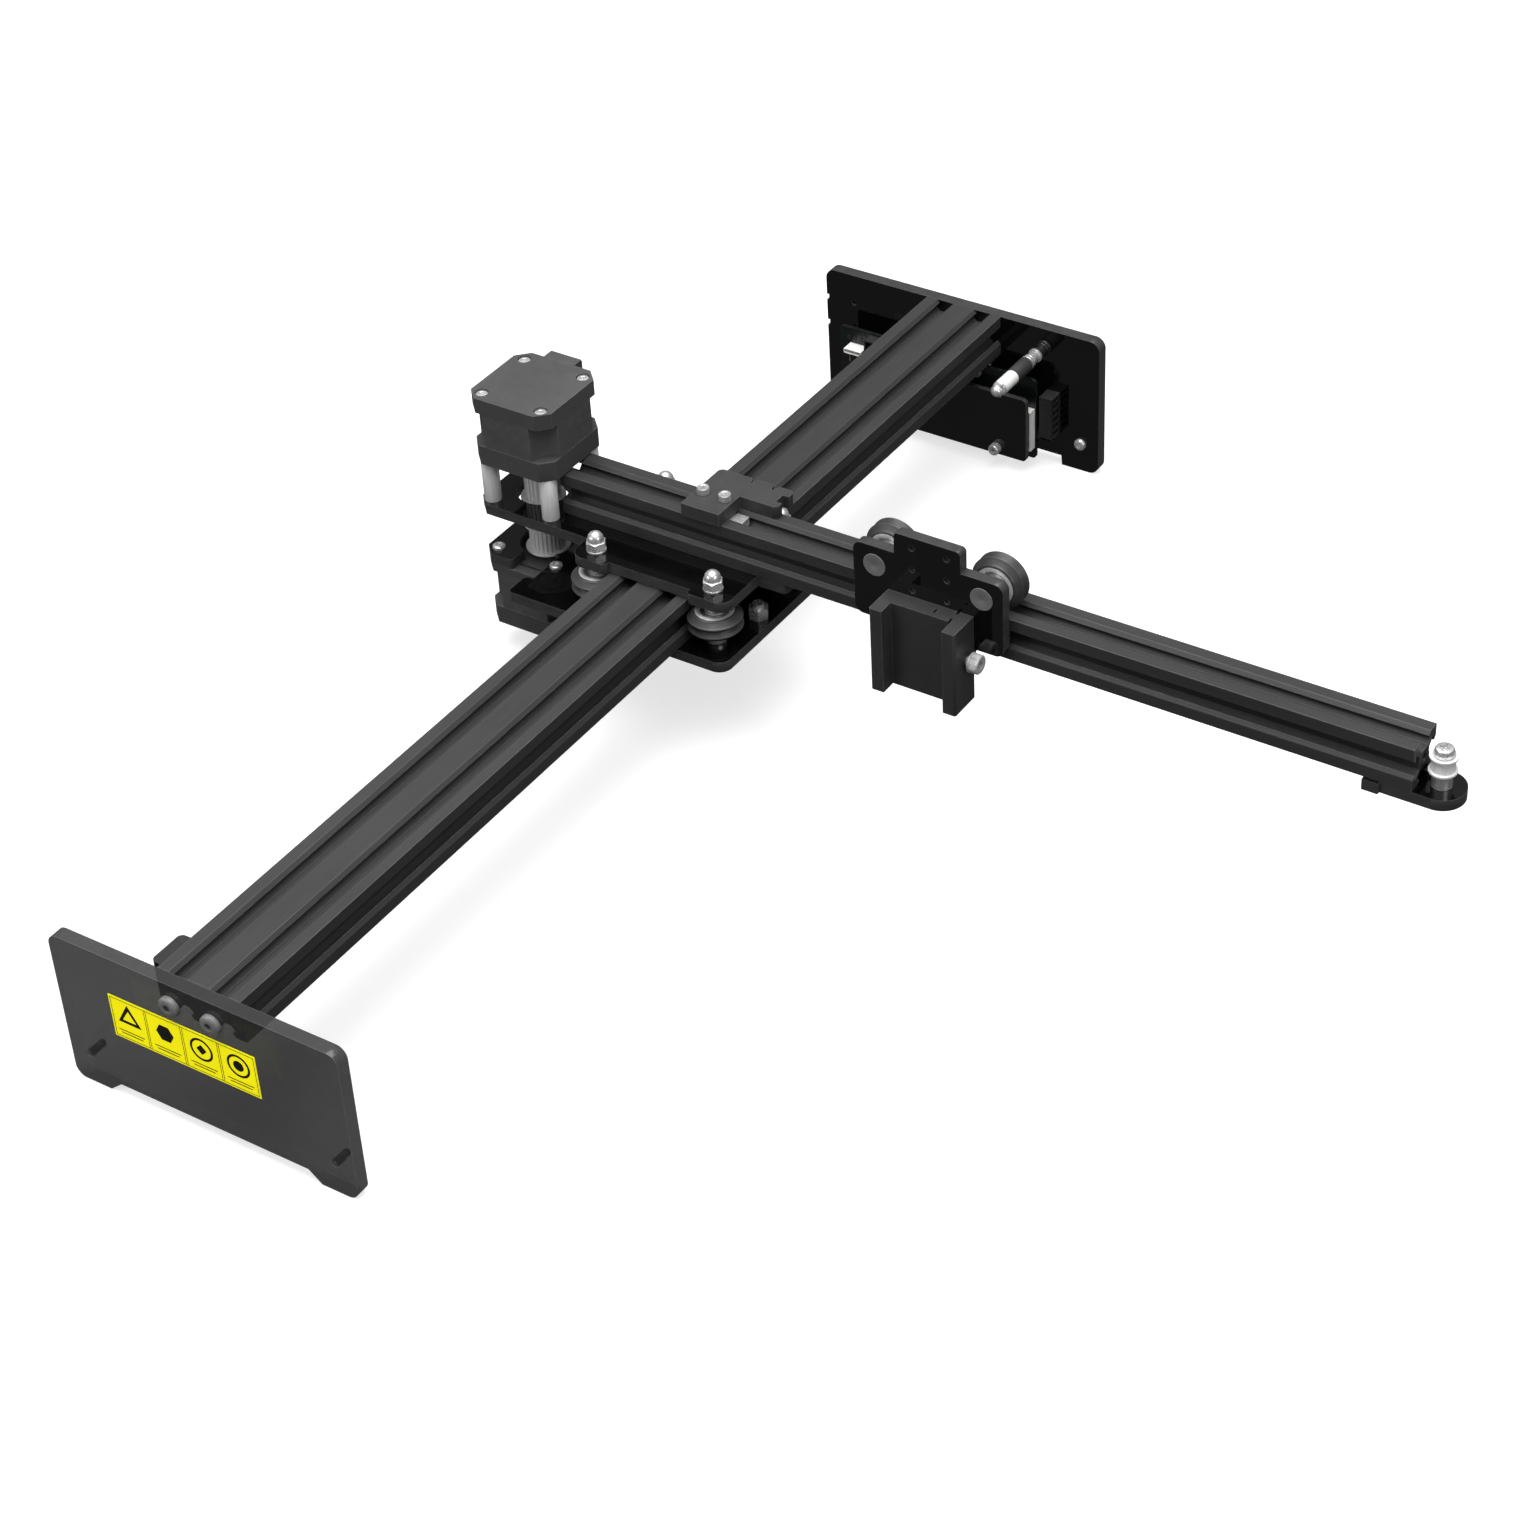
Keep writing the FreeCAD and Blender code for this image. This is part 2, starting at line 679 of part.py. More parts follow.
def make_motor(prefix, bottom, cap_low, cap_high, height, boss_low):
    """A stepper motor: two cast caps with a laminated stack between them."""
    at = (motor_x, D["carriageY"], bottom)
    low = as_size(cap_low)
    high = as_size(cap_high)
    stack = height - low - high
    lower = padded(f"{prefix}_motor_lower_cap", motor_outline(D["motorSide"], D["motorChamfer"]),
                   low, at=at)
    upper = padded(f"{prefix}_motor_upper_cap", motor_outline(D["motorSide"], D["motorChamfer"]),
                   high, at=stepped(at, (0, 0, 1), low + stack))
    padded(f"{prefix}_motor_stack", motor_outline(D["motorSide"] - 0.2, D["motorChamfer"] + 3.4),
           stack, at=stepped(at, (0, 0, 1), low))
    bored = lower if boss_low else upper
    pocket(bored, None, "XY_Plane", [((0, 0), D["motorShaftRadius"] + 0.6)])
    return upper


def sink_holes(body, centres, radius, depth, level):
    """Blind round holes, cut downwards from a level of the body."""
    sketch = new_sketch(body, "XY_Plane")
    sketch.AttachmentOffset = Placement(Vector(0, 0, level), Rotation())
    for centre in centres:
        draw_circle(sketch, centre, radius)
    sink = body.newObject("PartDesign::Pocket", body.Name + "Sink")
    sink.Profile = sketch
    sink.Length = depth
    doc.recompute()


def make_motors():
    arm_bottom = upper_top + D["standoffLength"]
    arm_top = arm_bottom + D["armMotorHeight"]
    rail_bottom = lower_bottom - D["railMotorHeight"]
    arm_cap_height, rail_cap_height, well_depth = 7.3, 4.0, 2.2
    arm_cap = make_motor("arm", arm_bottom, 9.5, arm_cap_height, D["armMotorHeight"], True)
    rail_cap = make_motor("rail", rail_bottom, 9.0, rail_cap_height, D["railMotorHeight"], False)
    pitch = D["motorScrewPitch"] / 2
    screws = []
    standoffs = []
    corners = [(sx * pitch, sy * pitch) for sx, sy in corners_of(1, 1)]
    sink_holes(arm_cap, corners, 3.1, well_depth, arm_cap_height)
    sink_holes(arm_cap, corners, 1.55, well_depth + 4.6, arm_cap_height)
    sink_holes(rail_cap, corners, 1.55, rail_cap_height, rail_cap_height)
    for number, (dx, dy) in enumerate(corners):
        x, y = motor_x + dx, D["carriageY"] + dy
        screws.append(socket_screw(f"armMotorScrew{number}", (x, y, arm_top - well_depth),
                                   (0, 0, 1), 2.7, 1.7, 1.45, 4.4, 2))
        screws.append(socket_screw(f"railMotorScrew{number}", (x, y, lower_top), (0, 0, 1),
                                   2.9, 1.7, 1.45, D["plateThickness"] + 3, 2))
        standoffs.append(cylinder(f"standoff{number}", (x, y, upper_top), D["standoffRadius"],
                                  D["standoffLength"]))
    group("motor_screws", screws)
    group("motor_standoffs", standoffs)
    plug = padded("arm_motor_connector", [(-9.5, 0), (6.5, 0), (6.5, 6), (-9.5, 6)], 7.5,
                  at=(motor_x, D["carriageY"] + motor_half, arm_top - 7.5))
    round_edges(plug, [(-9.5, 6), (6.5, 6)], 1, "z")


def make_pulley(label, at, teeth_low, teeth_high, hub_low, hub_high, hub_radius, shaft_low, shaft_high):
    """A flanged belt pulley with its motor shaft, heights measured from its lower flange."""
    flange, core, shaft = D["pulleyFlangeRadius"], D["pulleyRadius"], D["motorShaftRadius"]
    hub = as_size(hub_radius)
    profile = [(0, shaft_low), (shaft, shaft_low), (shaft, hub_low), (hub, hub_low), (hub, 0),
               (flange, 0), (flange, 1.0), (core, 1.4), (core, teeth_high), (flange, teeth_high + 0.4),
               (flange, teeth_high + 1.2), (hub, teeth_high + 1.2), (hub, hub_high),
               (shaft, hub_high), (shaft, shaft_high), (0, shaft_high)]
    body = turned(label, profile, at)
    count = 30
    groove = new_sketch(body, "XY_Plane")
    draw_circle(groove, (core + 0.1, 0), 0.55)
    groove.AttachmentOffset = Placement(Vector(0, 0, teeth_low), Rotation())
    tooth = body.newObject("PartDesign::Pocket", label + "Tooth")
    tooth.Profile = groove
    tooth.Reversed = True
    tooth.Length = teeth_high - teeth_low - 0.3
    doc.recompute()
    ring = body.newObject("PartDesign::PolarPattern", label + "Teeth")
    ring.Originals = [tooth]
    ring.Axis = (groove, ["N_Axis"])
    ring.Angle = 360
    ring.Occurrences = count
    body.Tip = ring
    doc.recompute()
    keep(body, label)


def make_pulleys():
    sunk = 3.0
    arm_at = (motor_x, D["carriageY"], upper_top - sunk)
    make_pulley("arm_pulley", arm_at, 5.0, 15.0, -1.5, 17.5, 6.0, -3.0, 25.6)
    rail_at = (motor_x, D["carriageY"], lower_top - sunk)
    make_pulley("rail_pulley", rail_at, 1.6, 12.6, -1.5, 14.4, 6.0, -5.0, 15.6)


# ---------------------------------------------------------------- arm

arm_mid_z = upper_top + half_profile
arm_top_z = upper_top + D["profileSize"]
arm_left = D["railX"] + D["armStartX"]


def make_arm():
    outline = profile_outline(D["profileSize"], D["profileSize"], [half_profile], [half_profile])
    padded("arm", outline, D["armLength"], "YZ_Plane", [((0, 0), D["coreHoleRadius"])],
           (arm_left, D["carriageY"], arm_mid_z))


def make_arm_bracket():
    """The T-shaped clip on top of the arm, with its two screws and the nut in the slot."""
    outline = [(0, -11.2), (19, -11.2), (19, 5), (37.5, 5), (37.5, 9), (34.5, 9), (34.5, 14.5),
               (37.5, 14.5), (37.5, 19.3), (29.6, 19.3), (28.2, 14.8), (26.8, 19.3),
               (18.9, 19.3), (17.6, 15.6), (16.3, 19.3), (0, 19.3)]
    at = (D["railX"] + 5, D["carriageY"], arm_top_z)
    holes = [((4, 0), 1.7), ((15, 0), 1.7)]
    bracket = padded("arm_bracket", outline, 6, "XY_Plane", holes, at)
    round_edges(bracket, [(0, 19.3), (37.5, 19.3), (37.5, 5)], 2.5, "z")
    screws = []
    for number, x in enumerate((4, 15)):
        spot = (at[0] + x, at[1], arm_top_z + 6)
        screws.append(socket_screw(f"bracketScrew{number}", spot, (0, 0, 1), 2.75, 3.0, 1.5, 9, 2.5))
    group("arm_bracket_screws", screws)
    nut = box("slotNutBlock", (at[0] + 1, at[1] - 2.8, arm_top_z - 5.0), (24, 5.6, 3.8))
    hollows = [cylinder(f"slotNutHole{number}", (at[0] + x, at[1], arm_top_z - 6), 1.55, 6)
               for number, x in enumerate((4, 15))]
    keep(cut("slotNutCut", nut, fused("slotNutHoles", hollows)), "slot_nut")
    doc.recompute()


def make_tip():
    """The round-ended plate under the arm's tip and the fixed axle of the belt idler."""
    length = as_size(28)
    half = D["tipPlateRadius"]
    x, y = D["railX"] + D["tipAxisX"], D["carriageY"]
    low = upper_top - D["tipPlateThickness"]
    outline = [(-length, -half), (0, -half), (0, half), (-length, half)]
    plate = padded("tipBar", outline, D["tipPlateThickness"], at=(x, y, low))
    nodes.remove(plate)
    end = cylinder("tipEnd", (x, y, low), half, D["tipPlateThickness"])
    tab = box("tipTab", (x - length, y - half - 1.5, low), (7, 2.0, D["tipPlateThickness"]))
    keep(fused("tipPlateAll", [plate, end, tab]), "tip_plate")
    post = cylinder("idlerPost", (x, y, upper_top), 4.15, 6.8)
    pin = cylinder("idlerPin", (x, y, upper_top), 2.5, 15)
    washer = cylinder("idlerWasher", (x, y, upper_top + 14.9), 4.3, 0.9)
    head = cylinder("idlerHead", (x, y, upper_top + 15.7), 3.85, 2.4)
    bars = [box("crossLong", (x - 2.4, y - 0.5, upper_top + 17), (4.8, 1.0, 2)),
            box("crossShort", (x - 0.5, y - 2.4, upper_top + 17), (1.0, 4.8, 2))]
    solid = fused("idlerAxleBlank", [post, pin, washer, head])
    keep(cut("idlerAxleCut", solid, fused("idlerCross", bars)), "idler_axle")
    radius, bore = D["idlerRadius"], as_size(2.55)
    profile = [(bore, 0), (radius, 0), (radius, 0.9), (radius - 0.9, 1.2), (radius - 0.9, 6.5),
               (radius, 6.8), (radius, 7.7), (bore, 7.7)]
    keep(turned("tipIdler", profile, (x, y, upper_top + 6.95)), "tip_idler")
    doc.recompute()


# ---------------------------------------------------------------- laser carriage

laser_x = D["railX"] + D["laserX"]
laser_plate_back = D["carriageY"] - stack_half
laser_plate_front = laser_plate_back - D["laserPlateThickness"]
laser_axles = {"upper_left": (-1, 1), "upper_right": (1, 1), "lower": (0, -1)}


def laser_axle_spot(side, level):
    return (laser_x + side * D["laserAxlePitch"] / 2,
            arm_mid_z + level * (half_profile + D["wheelOffset"]))


def make_laser_plate():
    half = D["laserPlateWidth"] / 2
    reach = half_profile + D["wheelOffset"]
    shoulder, top, waist = reach + 9, reach + 19, as_size(-6)
    bottom = -reach - 9.5
    outline = [(-half, waist), (-16, waist), (-11, bottom), (11, bottom), (16, waist), (half, waist),
               (half, shoulder), (15.5, shoulder), (15.5, top), (-15.5, top), (-15.5, shoulder),
               (-half, shoulder)]
    pitch = D["laserAxlePitch"] / 2
    holes = [((-pitch, reach), 2.5), ((pitch, reach), 2.5), ((0, -reach), 2.5)]
    holes += [((x, reach + rise), 1.4) for x in (-7.2, 9.0) for rise in (13.75, 3.5, -6.75)]
    plate = padded("laser_plate", outline, D["laserPlateThickness"], "XZ_Plane", holes,
                   (laser_x, laser_plate_back, arm_mid_z))
    round_edges(plate, [(-half, shoulder), (half, shoulder), (half, waist), (-half, waist)], 4, "y")
    round_edges(plate, [(-15.5, top), (15.5, top)], 2, "y")


def make_laser_axles():
    """Axles, spacers and nuts; the lower axle is flush because the holder covers its end."""
    bolts = []
    spacers = []
    nuts = []
    back = (0, 1, 0)
    for name, (side, level) in laser_axles.items():
        x, z = laser_axle_spot(side, level)
        bolt = cylinder(f"laserShank_{name}", (x, laser_plate_front, z), 2.5,
                        D["laserPlateThickness"] + 2 * stack_half - 2.5, back)
        if level > 0:
            head = cylinder(f"laserHead_{name}", (x, laser_plate_front, z), 5.25, 0.3, (0, -1, 0))
            bolt = fused(f"laserBolt_{name}", [head, bolt])
        bolts.append(bolt)
        ring = cylinder(f"laserSpacer_{name}", (x, laser_plate_back, z), 4.4,
                        D["spacerLength"] - 0.3, back)
        bore = cylinder(f"laserSpacerBore_{name}", (x, laser_plate_back - 1, z), 2.5,
                        D["spacerLength"] + 2, back)
        spacers.append(cut(f"laserSpacerRing_{name}", ring, bore))
        behind = D["carriageY"] + D["wheelWidth"] / 2 + 0.3
        nut = hex_prism(f"laserNut_{name}", (x, behind, z), 8, 4.6, back)
        hole = cylinder(f"laserNutBore_{name}", (x, behind - 1, z), 2.5, 8, back)
        nuts.append(cut(f"laserNutCut_{name}", nut, hole))
        make_wheel(name, (x, D["carriageY"], z), (0, -1, 0))
    group("laser_axle_bolts", bolts)
    group("laser_axle_spacers", spacers)
    group("laser_axle_nuts", nuts)


def make_holder():
    """The open-fronted channel that grips a laser module, with its clamp slit and screw."""
    half = D["holderWidth"] / 2
    depth, channel, flange = D["holderDepth"], D["holderChannel"], D["holderFlange"]
    middle = laser_x + D["holderShift"]
    low = upper_bottom - 15.1
    clamp_height = 21.5
    slit_left, slit_right = half - 7.4, half - 6.2
    outline = [(-half, 0), (-half, -depth), (flange - half, -depth), (flange - half, channel - depth),
               (half - flange, channel - depth), (half - flange, -depth), (half, -depth),
               (half, 0), (slit_right, 0), (slit_right, -2.3), (slit_left, -2.3), (slit_left, 0)]
    holder = padded("laser_holder", outline, D["holderHeight"], "XY_Plane", (),
                    (middle, laser_plate_front, low))
    pocket(holder, [(4.0, -2.4), (5.1, -2.4), (5.1, -5.6), (4.0, -5.6)])
    front = channel - depth
    pocket(holder, [(slit_left, front - 1), (slit_right, front - 1), (slit_right, front + 2.6),
                    (slit_left, front + 2.6)])
    pocket(holder, None, "YZ_Plane", [((-5, clamp_height), 2.2)])
    round_edges(holder, [(-half, -depth), (half, -depth)], 1, "z")
    screw_at = (middle + half, laser_plate_front - 5, low + clamp_height)
    outward = (1, 0, 0)
    flange_ring = cylinder("clampFlange", stepped(screw_at, outward, 1.55), 5.0, 1.2, outward)
    head = cylinder("clampHead", stepped(screw_at, outward, 2.2), 4.2, 4.0, outward)
    shank = cylinder("clampShank", stepped(screw_at, outward, 2.2), 2.1, 15, (-1, 0, 0))
    key = hex_prism("clampKey", stepped(screw_at, outward, 3.8), 3.0, 4, outward)
    keep(cut("clampScrewCut", fused("clampBlank", [flange_ring, head, shank]), key), "clamp_screw")
    doc.recompute()


# ---------------------------------------------------------------- build, check and export

def build():
    make_rail()
    make_end_plates()
    make_end_fasteners()
    make_front_trim()
    make_control_board()
    make_end_stop()
    make_upper_plate()
    make_lower_plate()
    make_eccentric_nut()
    make_carriage_axles()
    make_rail_wheels()
    make_motors()
    make_pulleys()
    make_arm()
    make_arm_bracket()
    make_tip()
    make_laser_plate()
    make_laser_axles()
    make_holder()
    doc.recompute()


def check_model():
    failed = [f"{obj.Label} {obj.State}" for obj in doc.Objects
              if "Invalid" in obj.State or "Error" in obj.State]
    if failed:
        raise RuntimeError("failed: " + "; ".join(failed))
    labels = [node.Label for node in nodes]
    if len(set(labels)) != len(labels) or len(labels) > 60:
        raise RuntimeError(f"{len(labels)} node names, not all different or too many")
    for node in nodes:
        if node.Shape.isNull() or not node.Shape.isValid() or not node.Shape.Solids:
            raise RuntimeError(f"{node.Label} has no valid solid")


def export_parts():
    os.makedirs("parts", exist_ok=True)
    for node in nodes:
        node.Shape.exportStep(f"parts/{node.Label}.step")
        bounds = node.Shape.BoundBox
        print(f"{node.Label:24s} solids {len(node.Shape.Solids)}  volume {node.Shape.Volume:10.1f}  "
              f"x {bounds.XMin:7.1f} {bounds.XMax:7.1f}  y {bounds.YMin:7.1f} {bounds.YMax:7.1f}  "
              f"z {bounds.ZMin:6.1f} {bounds.ZMax:6.1f}")
    print(len(nodes), "parts")


build()
check_model()
export_parts()
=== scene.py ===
import json
import math

import bmesh
import bpy
from mathutils import Matrix, Vector


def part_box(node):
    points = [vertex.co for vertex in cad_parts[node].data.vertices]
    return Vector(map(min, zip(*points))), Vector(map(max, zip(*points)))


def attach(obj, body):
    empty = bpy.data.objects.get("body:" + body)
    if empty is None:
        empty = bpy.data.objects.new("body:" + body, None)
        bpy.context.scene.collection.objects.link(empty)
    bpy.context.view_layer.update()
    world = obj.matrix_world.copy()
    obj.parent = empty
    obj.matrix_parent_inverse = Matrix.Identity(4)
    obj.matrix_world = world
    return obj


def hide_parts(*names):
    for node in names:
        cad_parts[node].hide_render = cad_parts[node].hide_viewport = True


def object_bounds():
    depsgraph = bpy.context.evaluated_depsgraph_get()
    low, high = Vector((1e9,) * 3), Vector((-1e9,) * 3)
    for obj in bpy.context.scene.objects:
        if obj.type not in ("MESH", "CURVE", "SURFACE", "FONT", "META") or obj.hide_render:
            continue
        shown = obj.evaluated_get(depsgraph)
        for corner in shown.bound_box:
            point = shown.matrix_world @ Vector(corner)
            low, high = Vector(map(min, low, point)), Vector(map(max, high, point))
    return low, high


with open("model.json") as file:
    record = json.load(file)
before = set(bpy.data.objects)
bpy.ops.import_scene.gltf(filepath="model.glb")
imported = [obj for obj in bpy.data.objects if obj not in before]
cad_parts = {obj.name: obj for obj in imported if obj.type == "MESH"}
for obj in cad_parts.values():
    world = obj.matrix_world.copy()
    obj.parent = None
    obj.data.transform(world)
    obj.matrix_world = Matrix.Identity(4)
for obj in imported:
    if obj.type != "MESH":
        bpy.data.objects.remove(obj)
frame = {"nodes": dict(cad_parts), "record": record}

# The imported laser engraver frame, finished: camera, light, floor, materials for the CAD nodes
# and finer pieces where the real one shows more than a plain solid. Metres, +Z up.

MM = 0.001
UP, DOWN = (0, 0, 1), (0, 0, -1)
FORWARD, BACKWARD = (0, -1, 0), (0, 1, 0)
RIGHT, LEFT = (1, 0, 0), (-1, 0, 0)
cad_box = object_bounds()

# ---------------------------------------------------------------- camera, light and floor

CAMERA = {
    "azimuth": 35.1,
    "elevation": 37.61,
    "roll": -3.46,
    "distance": 1.42591,
    "lens": 82.32,
    "shift": (0.00388, -0.00289),
}
RAIL_LOW, RAIL_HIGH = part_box("rail")
AIM = Vector(((RAIL_LOW.x + RAIL_HIGH.x) / 2 + 0.08725, RAIL_LOW.y + 0.24396, RAIL_HIGH.z - 0.02859))


def make_camera():
    """The camera looks along its own -Z, turned by azimuth, elevation and roll about the aim."""
    azimuth, elevation, roll = (math.radians(CAMERA[key]) for key in ("azimuth", "elevation", "roll"))
    back = Vector((math.sin(azimuth) * math.cos(elevation),
                   -math.cos(azimuth) * math.cos(elevation),
                   math.sin(elevation)))
    right = Vector((math.cos(azimuth), math.sin(azimuth), 0))
    up = back.cross(right)
    across = right * math.cos(roll) + up * math.sin(roll)
    above = up * math.cos(roll) - right * math.sin(roll)
    data = bpy.data.cameras.new("Camera")
    data.lens = CAMERA["lens"]
    data.sensor_width = 36.0
    data.shift_x, data.shift_y = CAMERA["shift"]
    data.clip_start = 0.05
    data.clip_end = 20.0
    camera = bpy.data.objects.new("Camera", data)
    bpy.context.scene.collection.objects.link(camera)
    turn = Matrix((across, above, back)).transposed().to_4x4()
    camera.matrix_world = Matrix.Translation(AIM + back * CAMERA["distance"]) @ turn
    bpy.context.scene.camera = camera


def softbox(name, at, aim, size, power):
    data = bpy.data.lights.new(name, "AREA")
    data.shape = "RECTANGLE"
    data.size, data.size_y = size
    data.energy = power
    light = bpy.data.objects.new(name, data)
    bpy.context.scene.collection.objects.link(light)
    light.location = at
    light.rotation_euler = (Vector(aim) - Vector(at)).to_track_quat("-Z", "Y").to_euler()


def make_world(dim, bright):
    """A dark studio with a bright ceiling: dim up to 30 degrees of elevation, bright overhead."""
    world = bpy.data.worlds.new("StudioWorld")
    bpy.context.scene.world = world
    world.use_nodes = True
    tree = world.node_tree
    where = tree.nodes.new("ShaderNodeTexCoord")
    split = tree.nodes.new("ShaderNodeSeparateXYZ")
    ramp = tree.nodes.new("ShaderNodeMapRange")
    ramp.interpolation_type = "SMOOTHSTEP"
    for key, value in (("From Min", 0.5), ("From Max", 0.9), ("To Min", dim), ("To Max", bright)):
        ramp.inputs[key].default_value = value
    tree.links.new(where.outputs["Generated"], split.inputs["Vector"])
    tree.links.new(split.outputs["Z"], ramp.inputs["Value"])
    background = tree.nodes["Background"]
    background.inputs["Color"].default_value = (1, 1, 1, 1)
    tree.links.new(ramp.outputs["Result"], background.inputs["Strength"])


# ---------------------------------------------------------------- materials


class Recipe:
    """A node material, with short ways to add and join its nodes. Coordinates are metres."""

    def __init__(self, name, **shader):
        self.material = bpy.data.materials.new(name)
        self.material.use_nodes = True
        self.tree = self.material.node_tree
        self.shader = self.tree.nodes["Principled BSDF"]
        self.place = self.add("ShaderNodeTexCoord").outputs["Object"]
        for key, value in shader.items():
            self.shader.inputs[key.replace("_", " ")].default_value = value

    def add(self, kind, **settings):
        node = self.tree.nodes.new(kind)
        for key, value in settings.items():
            setattr(node, key, value)
        return node

    def join(self, source, target):
        self.tree.links.new(source, target)

    def feed(self, value, socket):
        """A socket takes a plain number, or a link from another node."""
        if isinstance(value, (int, float)):
            socket.default_value = value
        else:
            self.join(value, socket)

    def stretched(self, stretch):
        mapping = self.add("ShaderNodeMapping")
        mapping.inputs["Scale"].default_value = stretch
        self.join(self.place, mapping.inputs["Vector"])
        return mapping.outputs["Vector"]

    def noise(self, scale, stretch=(1, 1, 1), detail=4, rough=0.55):
        node = self.add("ShaderNodeTexNoise")
        node.inputs["Scale"].default_value = scale
        node.inputs["Detail"].default_value = detail
        node.inputs["Roughness"].default_value = rough
        self.join(self.stretched(stretch), node.inputs["Vector"])
        return node.outputs["Fac"]

    def cells(self, scale, stretch=(1, 1, 1)):
        node = self.add("ShaderNodeTexVoronoi")
        node.inputs["Scale"].default_value = scale
        self.join(self.stretched(stretch), node.inputs["Vector"])
        return node.outputs["Distance"]

    def rings(self, scale, direction="Z", distortion=0.0):
        node = self.add("ShaderNodeTexWave", wave_type="BANDS", bands_direction=direction)
        node.inputs["Scale"].default_value = scale
        node.inputs["Distortion"].default_value = distortion
        self.join(self.place, node.inputs["Vector"])
        return node.outputs["Fac"]

    def spread(self, factor, low, high, start=0.3, stop=0.7):
        node = self.add("ShaderNodeMapRange")
        for key, value in (("From Min", start), ("From Max", stop), ("To Min", low), ("To Max", high)):
            node.inputs[key].default_value = value
        self.join(factor, node.inputs["Value"])
        return node.outputs["Result"]

    def tint(self, factor, first, second):
        node = self.add("ShaderNodeMix", data_type="RGBA")
        self.join(factor, node.inputs["Factor"])
        for slot, colour in ((6, first), (7, second)):
            if isinstance(colour, (int, float)):
                colour = (colour,) * 3
            if isinstance(colour, tuple):
                node.inputs[slot].default_value = (*colour[:3], 1)
            else:
                self.join(colour, node.inputs[slot])
        return node.outputs[2]

    def edges(self, width, start=0.995, stop=0.86):
        """1 on edges and corners, 0 on flat stretches."""
        rounded = self.add("ShaderNodeBevel", samples=4)
        rounded.inputs["Radius"].default_value = width
        true = self.add("ShaderNodeNewGeometry")
        dot = self.add("ShaderNodeVectorMath", operation="DOT_PRODUCT")
        self.join(rounded.outputs["Normal"], dot.inputs[0])
        self.join(true.outputs["Normal"], dot.inputs[1])
        return self.spread(dot.outputs["Value"], 0, 1, start, stop)

    def facing(self, axis):
        """1 where the surface faces along an axis, 0 where it runs along it."""
        split = self.add("ShaderNodeSeparateXYZ")
        self.join(self.add("ShaderNodeNewGeometry").outputs["True Normal"], split.inputs["Vector"])
        size = self.add("ShaderNodeMath", operation="ABSOLUTE")
        self.join(split.outputs[axis.upper()], size.inputs[0])
        return self.spread(size.outputs["Value"], 0, 1, 0.45, 0.75)

    def blend(self, factor, first, second):
        """Two numbers mixed by a factor."""
        node = self.add("ShaderNodeMix", data_type="FLOAT")
        self.join(factor, node.inputs["Factor"])
        for slot, value in ((2, first), (3, second)):
            self.feed(value, node.inputs[slot])
        return node.outputs[0]

    def times(self, first, second):
        node = self.add("ShaderNodeMath", operation="MULTIPLY")
        self.join(first, node.inputs[0])
        self.feed(second, node.inputs[1])
        return node.outputs["Value"]

    def colour(self, output):
        self.join(output, self.shader.inputs["Base Color"])

    def roughness(self, output):
        self.join(output, self.shader.inputs["Roughness"])

    def bump(self, height, distance, strength=1.0, under=None):
        node = self.add("ShaderNodeBump")
        node.inputs["Distance"].default_value = distance
        node.inputs["Strength"].default_value = strength
        self.join(height, node.inputs["Height"])
        if under is not None:
            self.join(under, node.inputs["Normal"])
        self.join(node.outputs["Normal"], self.shader.inputs["Normal"])
        return node.outputs["Normal"]


def anodised(name, along):
    """Black anodised extrusion: satin, with faint die lines along its length."""
    lines = tuple(0.02 if axis == along else 1 for axis in "xyz")
    r = Recipe(name, Metallic=0.0, Specular_IOR_Level=0.42)
    patches = r.noise(9, detail=3)
    drawn = r.noise(2600, stretch=lines, detail=2)
    body = r.tint(r.spread(patches, 0, 1), (0.024, 0.024, 0.0245), (0.033, 0.033, 0.0335))
    streaked = r.tint(r.spread(drawn, 0, 0.35), body, (0.054, 0.054, 0.055))
    # Edges tinted lighter in patches: a painted highlight where the edges catch the light.
    painted_edge_highlight = r.times(r.edges(0.0007), r.spread(r.noise(240), 0.15, 0.7))
    r.colour(r.tint(painted_edge_highlight, streaked, (0.16, 0.16, 0.165)))
    r.roughness(r.spread(r.noise(160, stretch=lines), 0.40, 0.52))
    grain = r.bump(r.noise(5200, detail=2), 0.00003, 0.35)
    r.bump(drawn, 0.00005, 0.35, grain)
    return r.material


def black_gloss(name, across="z"):
    """Glossy black plate with fine dust and hairline scratches; its sawn edges are matte."""
    r = Recipe(name, Metallic=0.0, Specular_IOR_Level=0.5)
    face = r.facing(across)
    wide = r.noise(35, detail=3)
    scratch = r.noise(420, stretch=(1, 0.04, 0.4), detail=2)
    dust = r.cells(1500)
    base = r.tint(r.spread(wide, 0, 1), 0.0012, 0.003)
    dusty = r.tint(r.spread(dust, 0.2, 0, 0.0, 0.05), base, 0.02)
    sawn = r.tint(r.spread(r.noise(700, stretch=(0.2, 0.2, 1)), 0, 1), 0.032, 0.050)
    # Edges tinted lighter in patches: a painted highlight along the plate's edges.
    painted_edge_highlight = r.times(r.edges(0.0005), r.spread(r.noise(300), 0.2, 0.8))
    r.colour(r.tint(painted_edge_highlight, r.tint(face, sawn, dusty), 0.10))
    r.roughness(r.blend(face, 0.36, r.spread(scratch, 0.05, 0.11)))
    r.join(r.blend(face, 0.0, 0.25), r.shader.inputs["Coat Weight"])
    r.bump(r.noise(60, detail=2), 0.00002, 0.05)
    return r.material


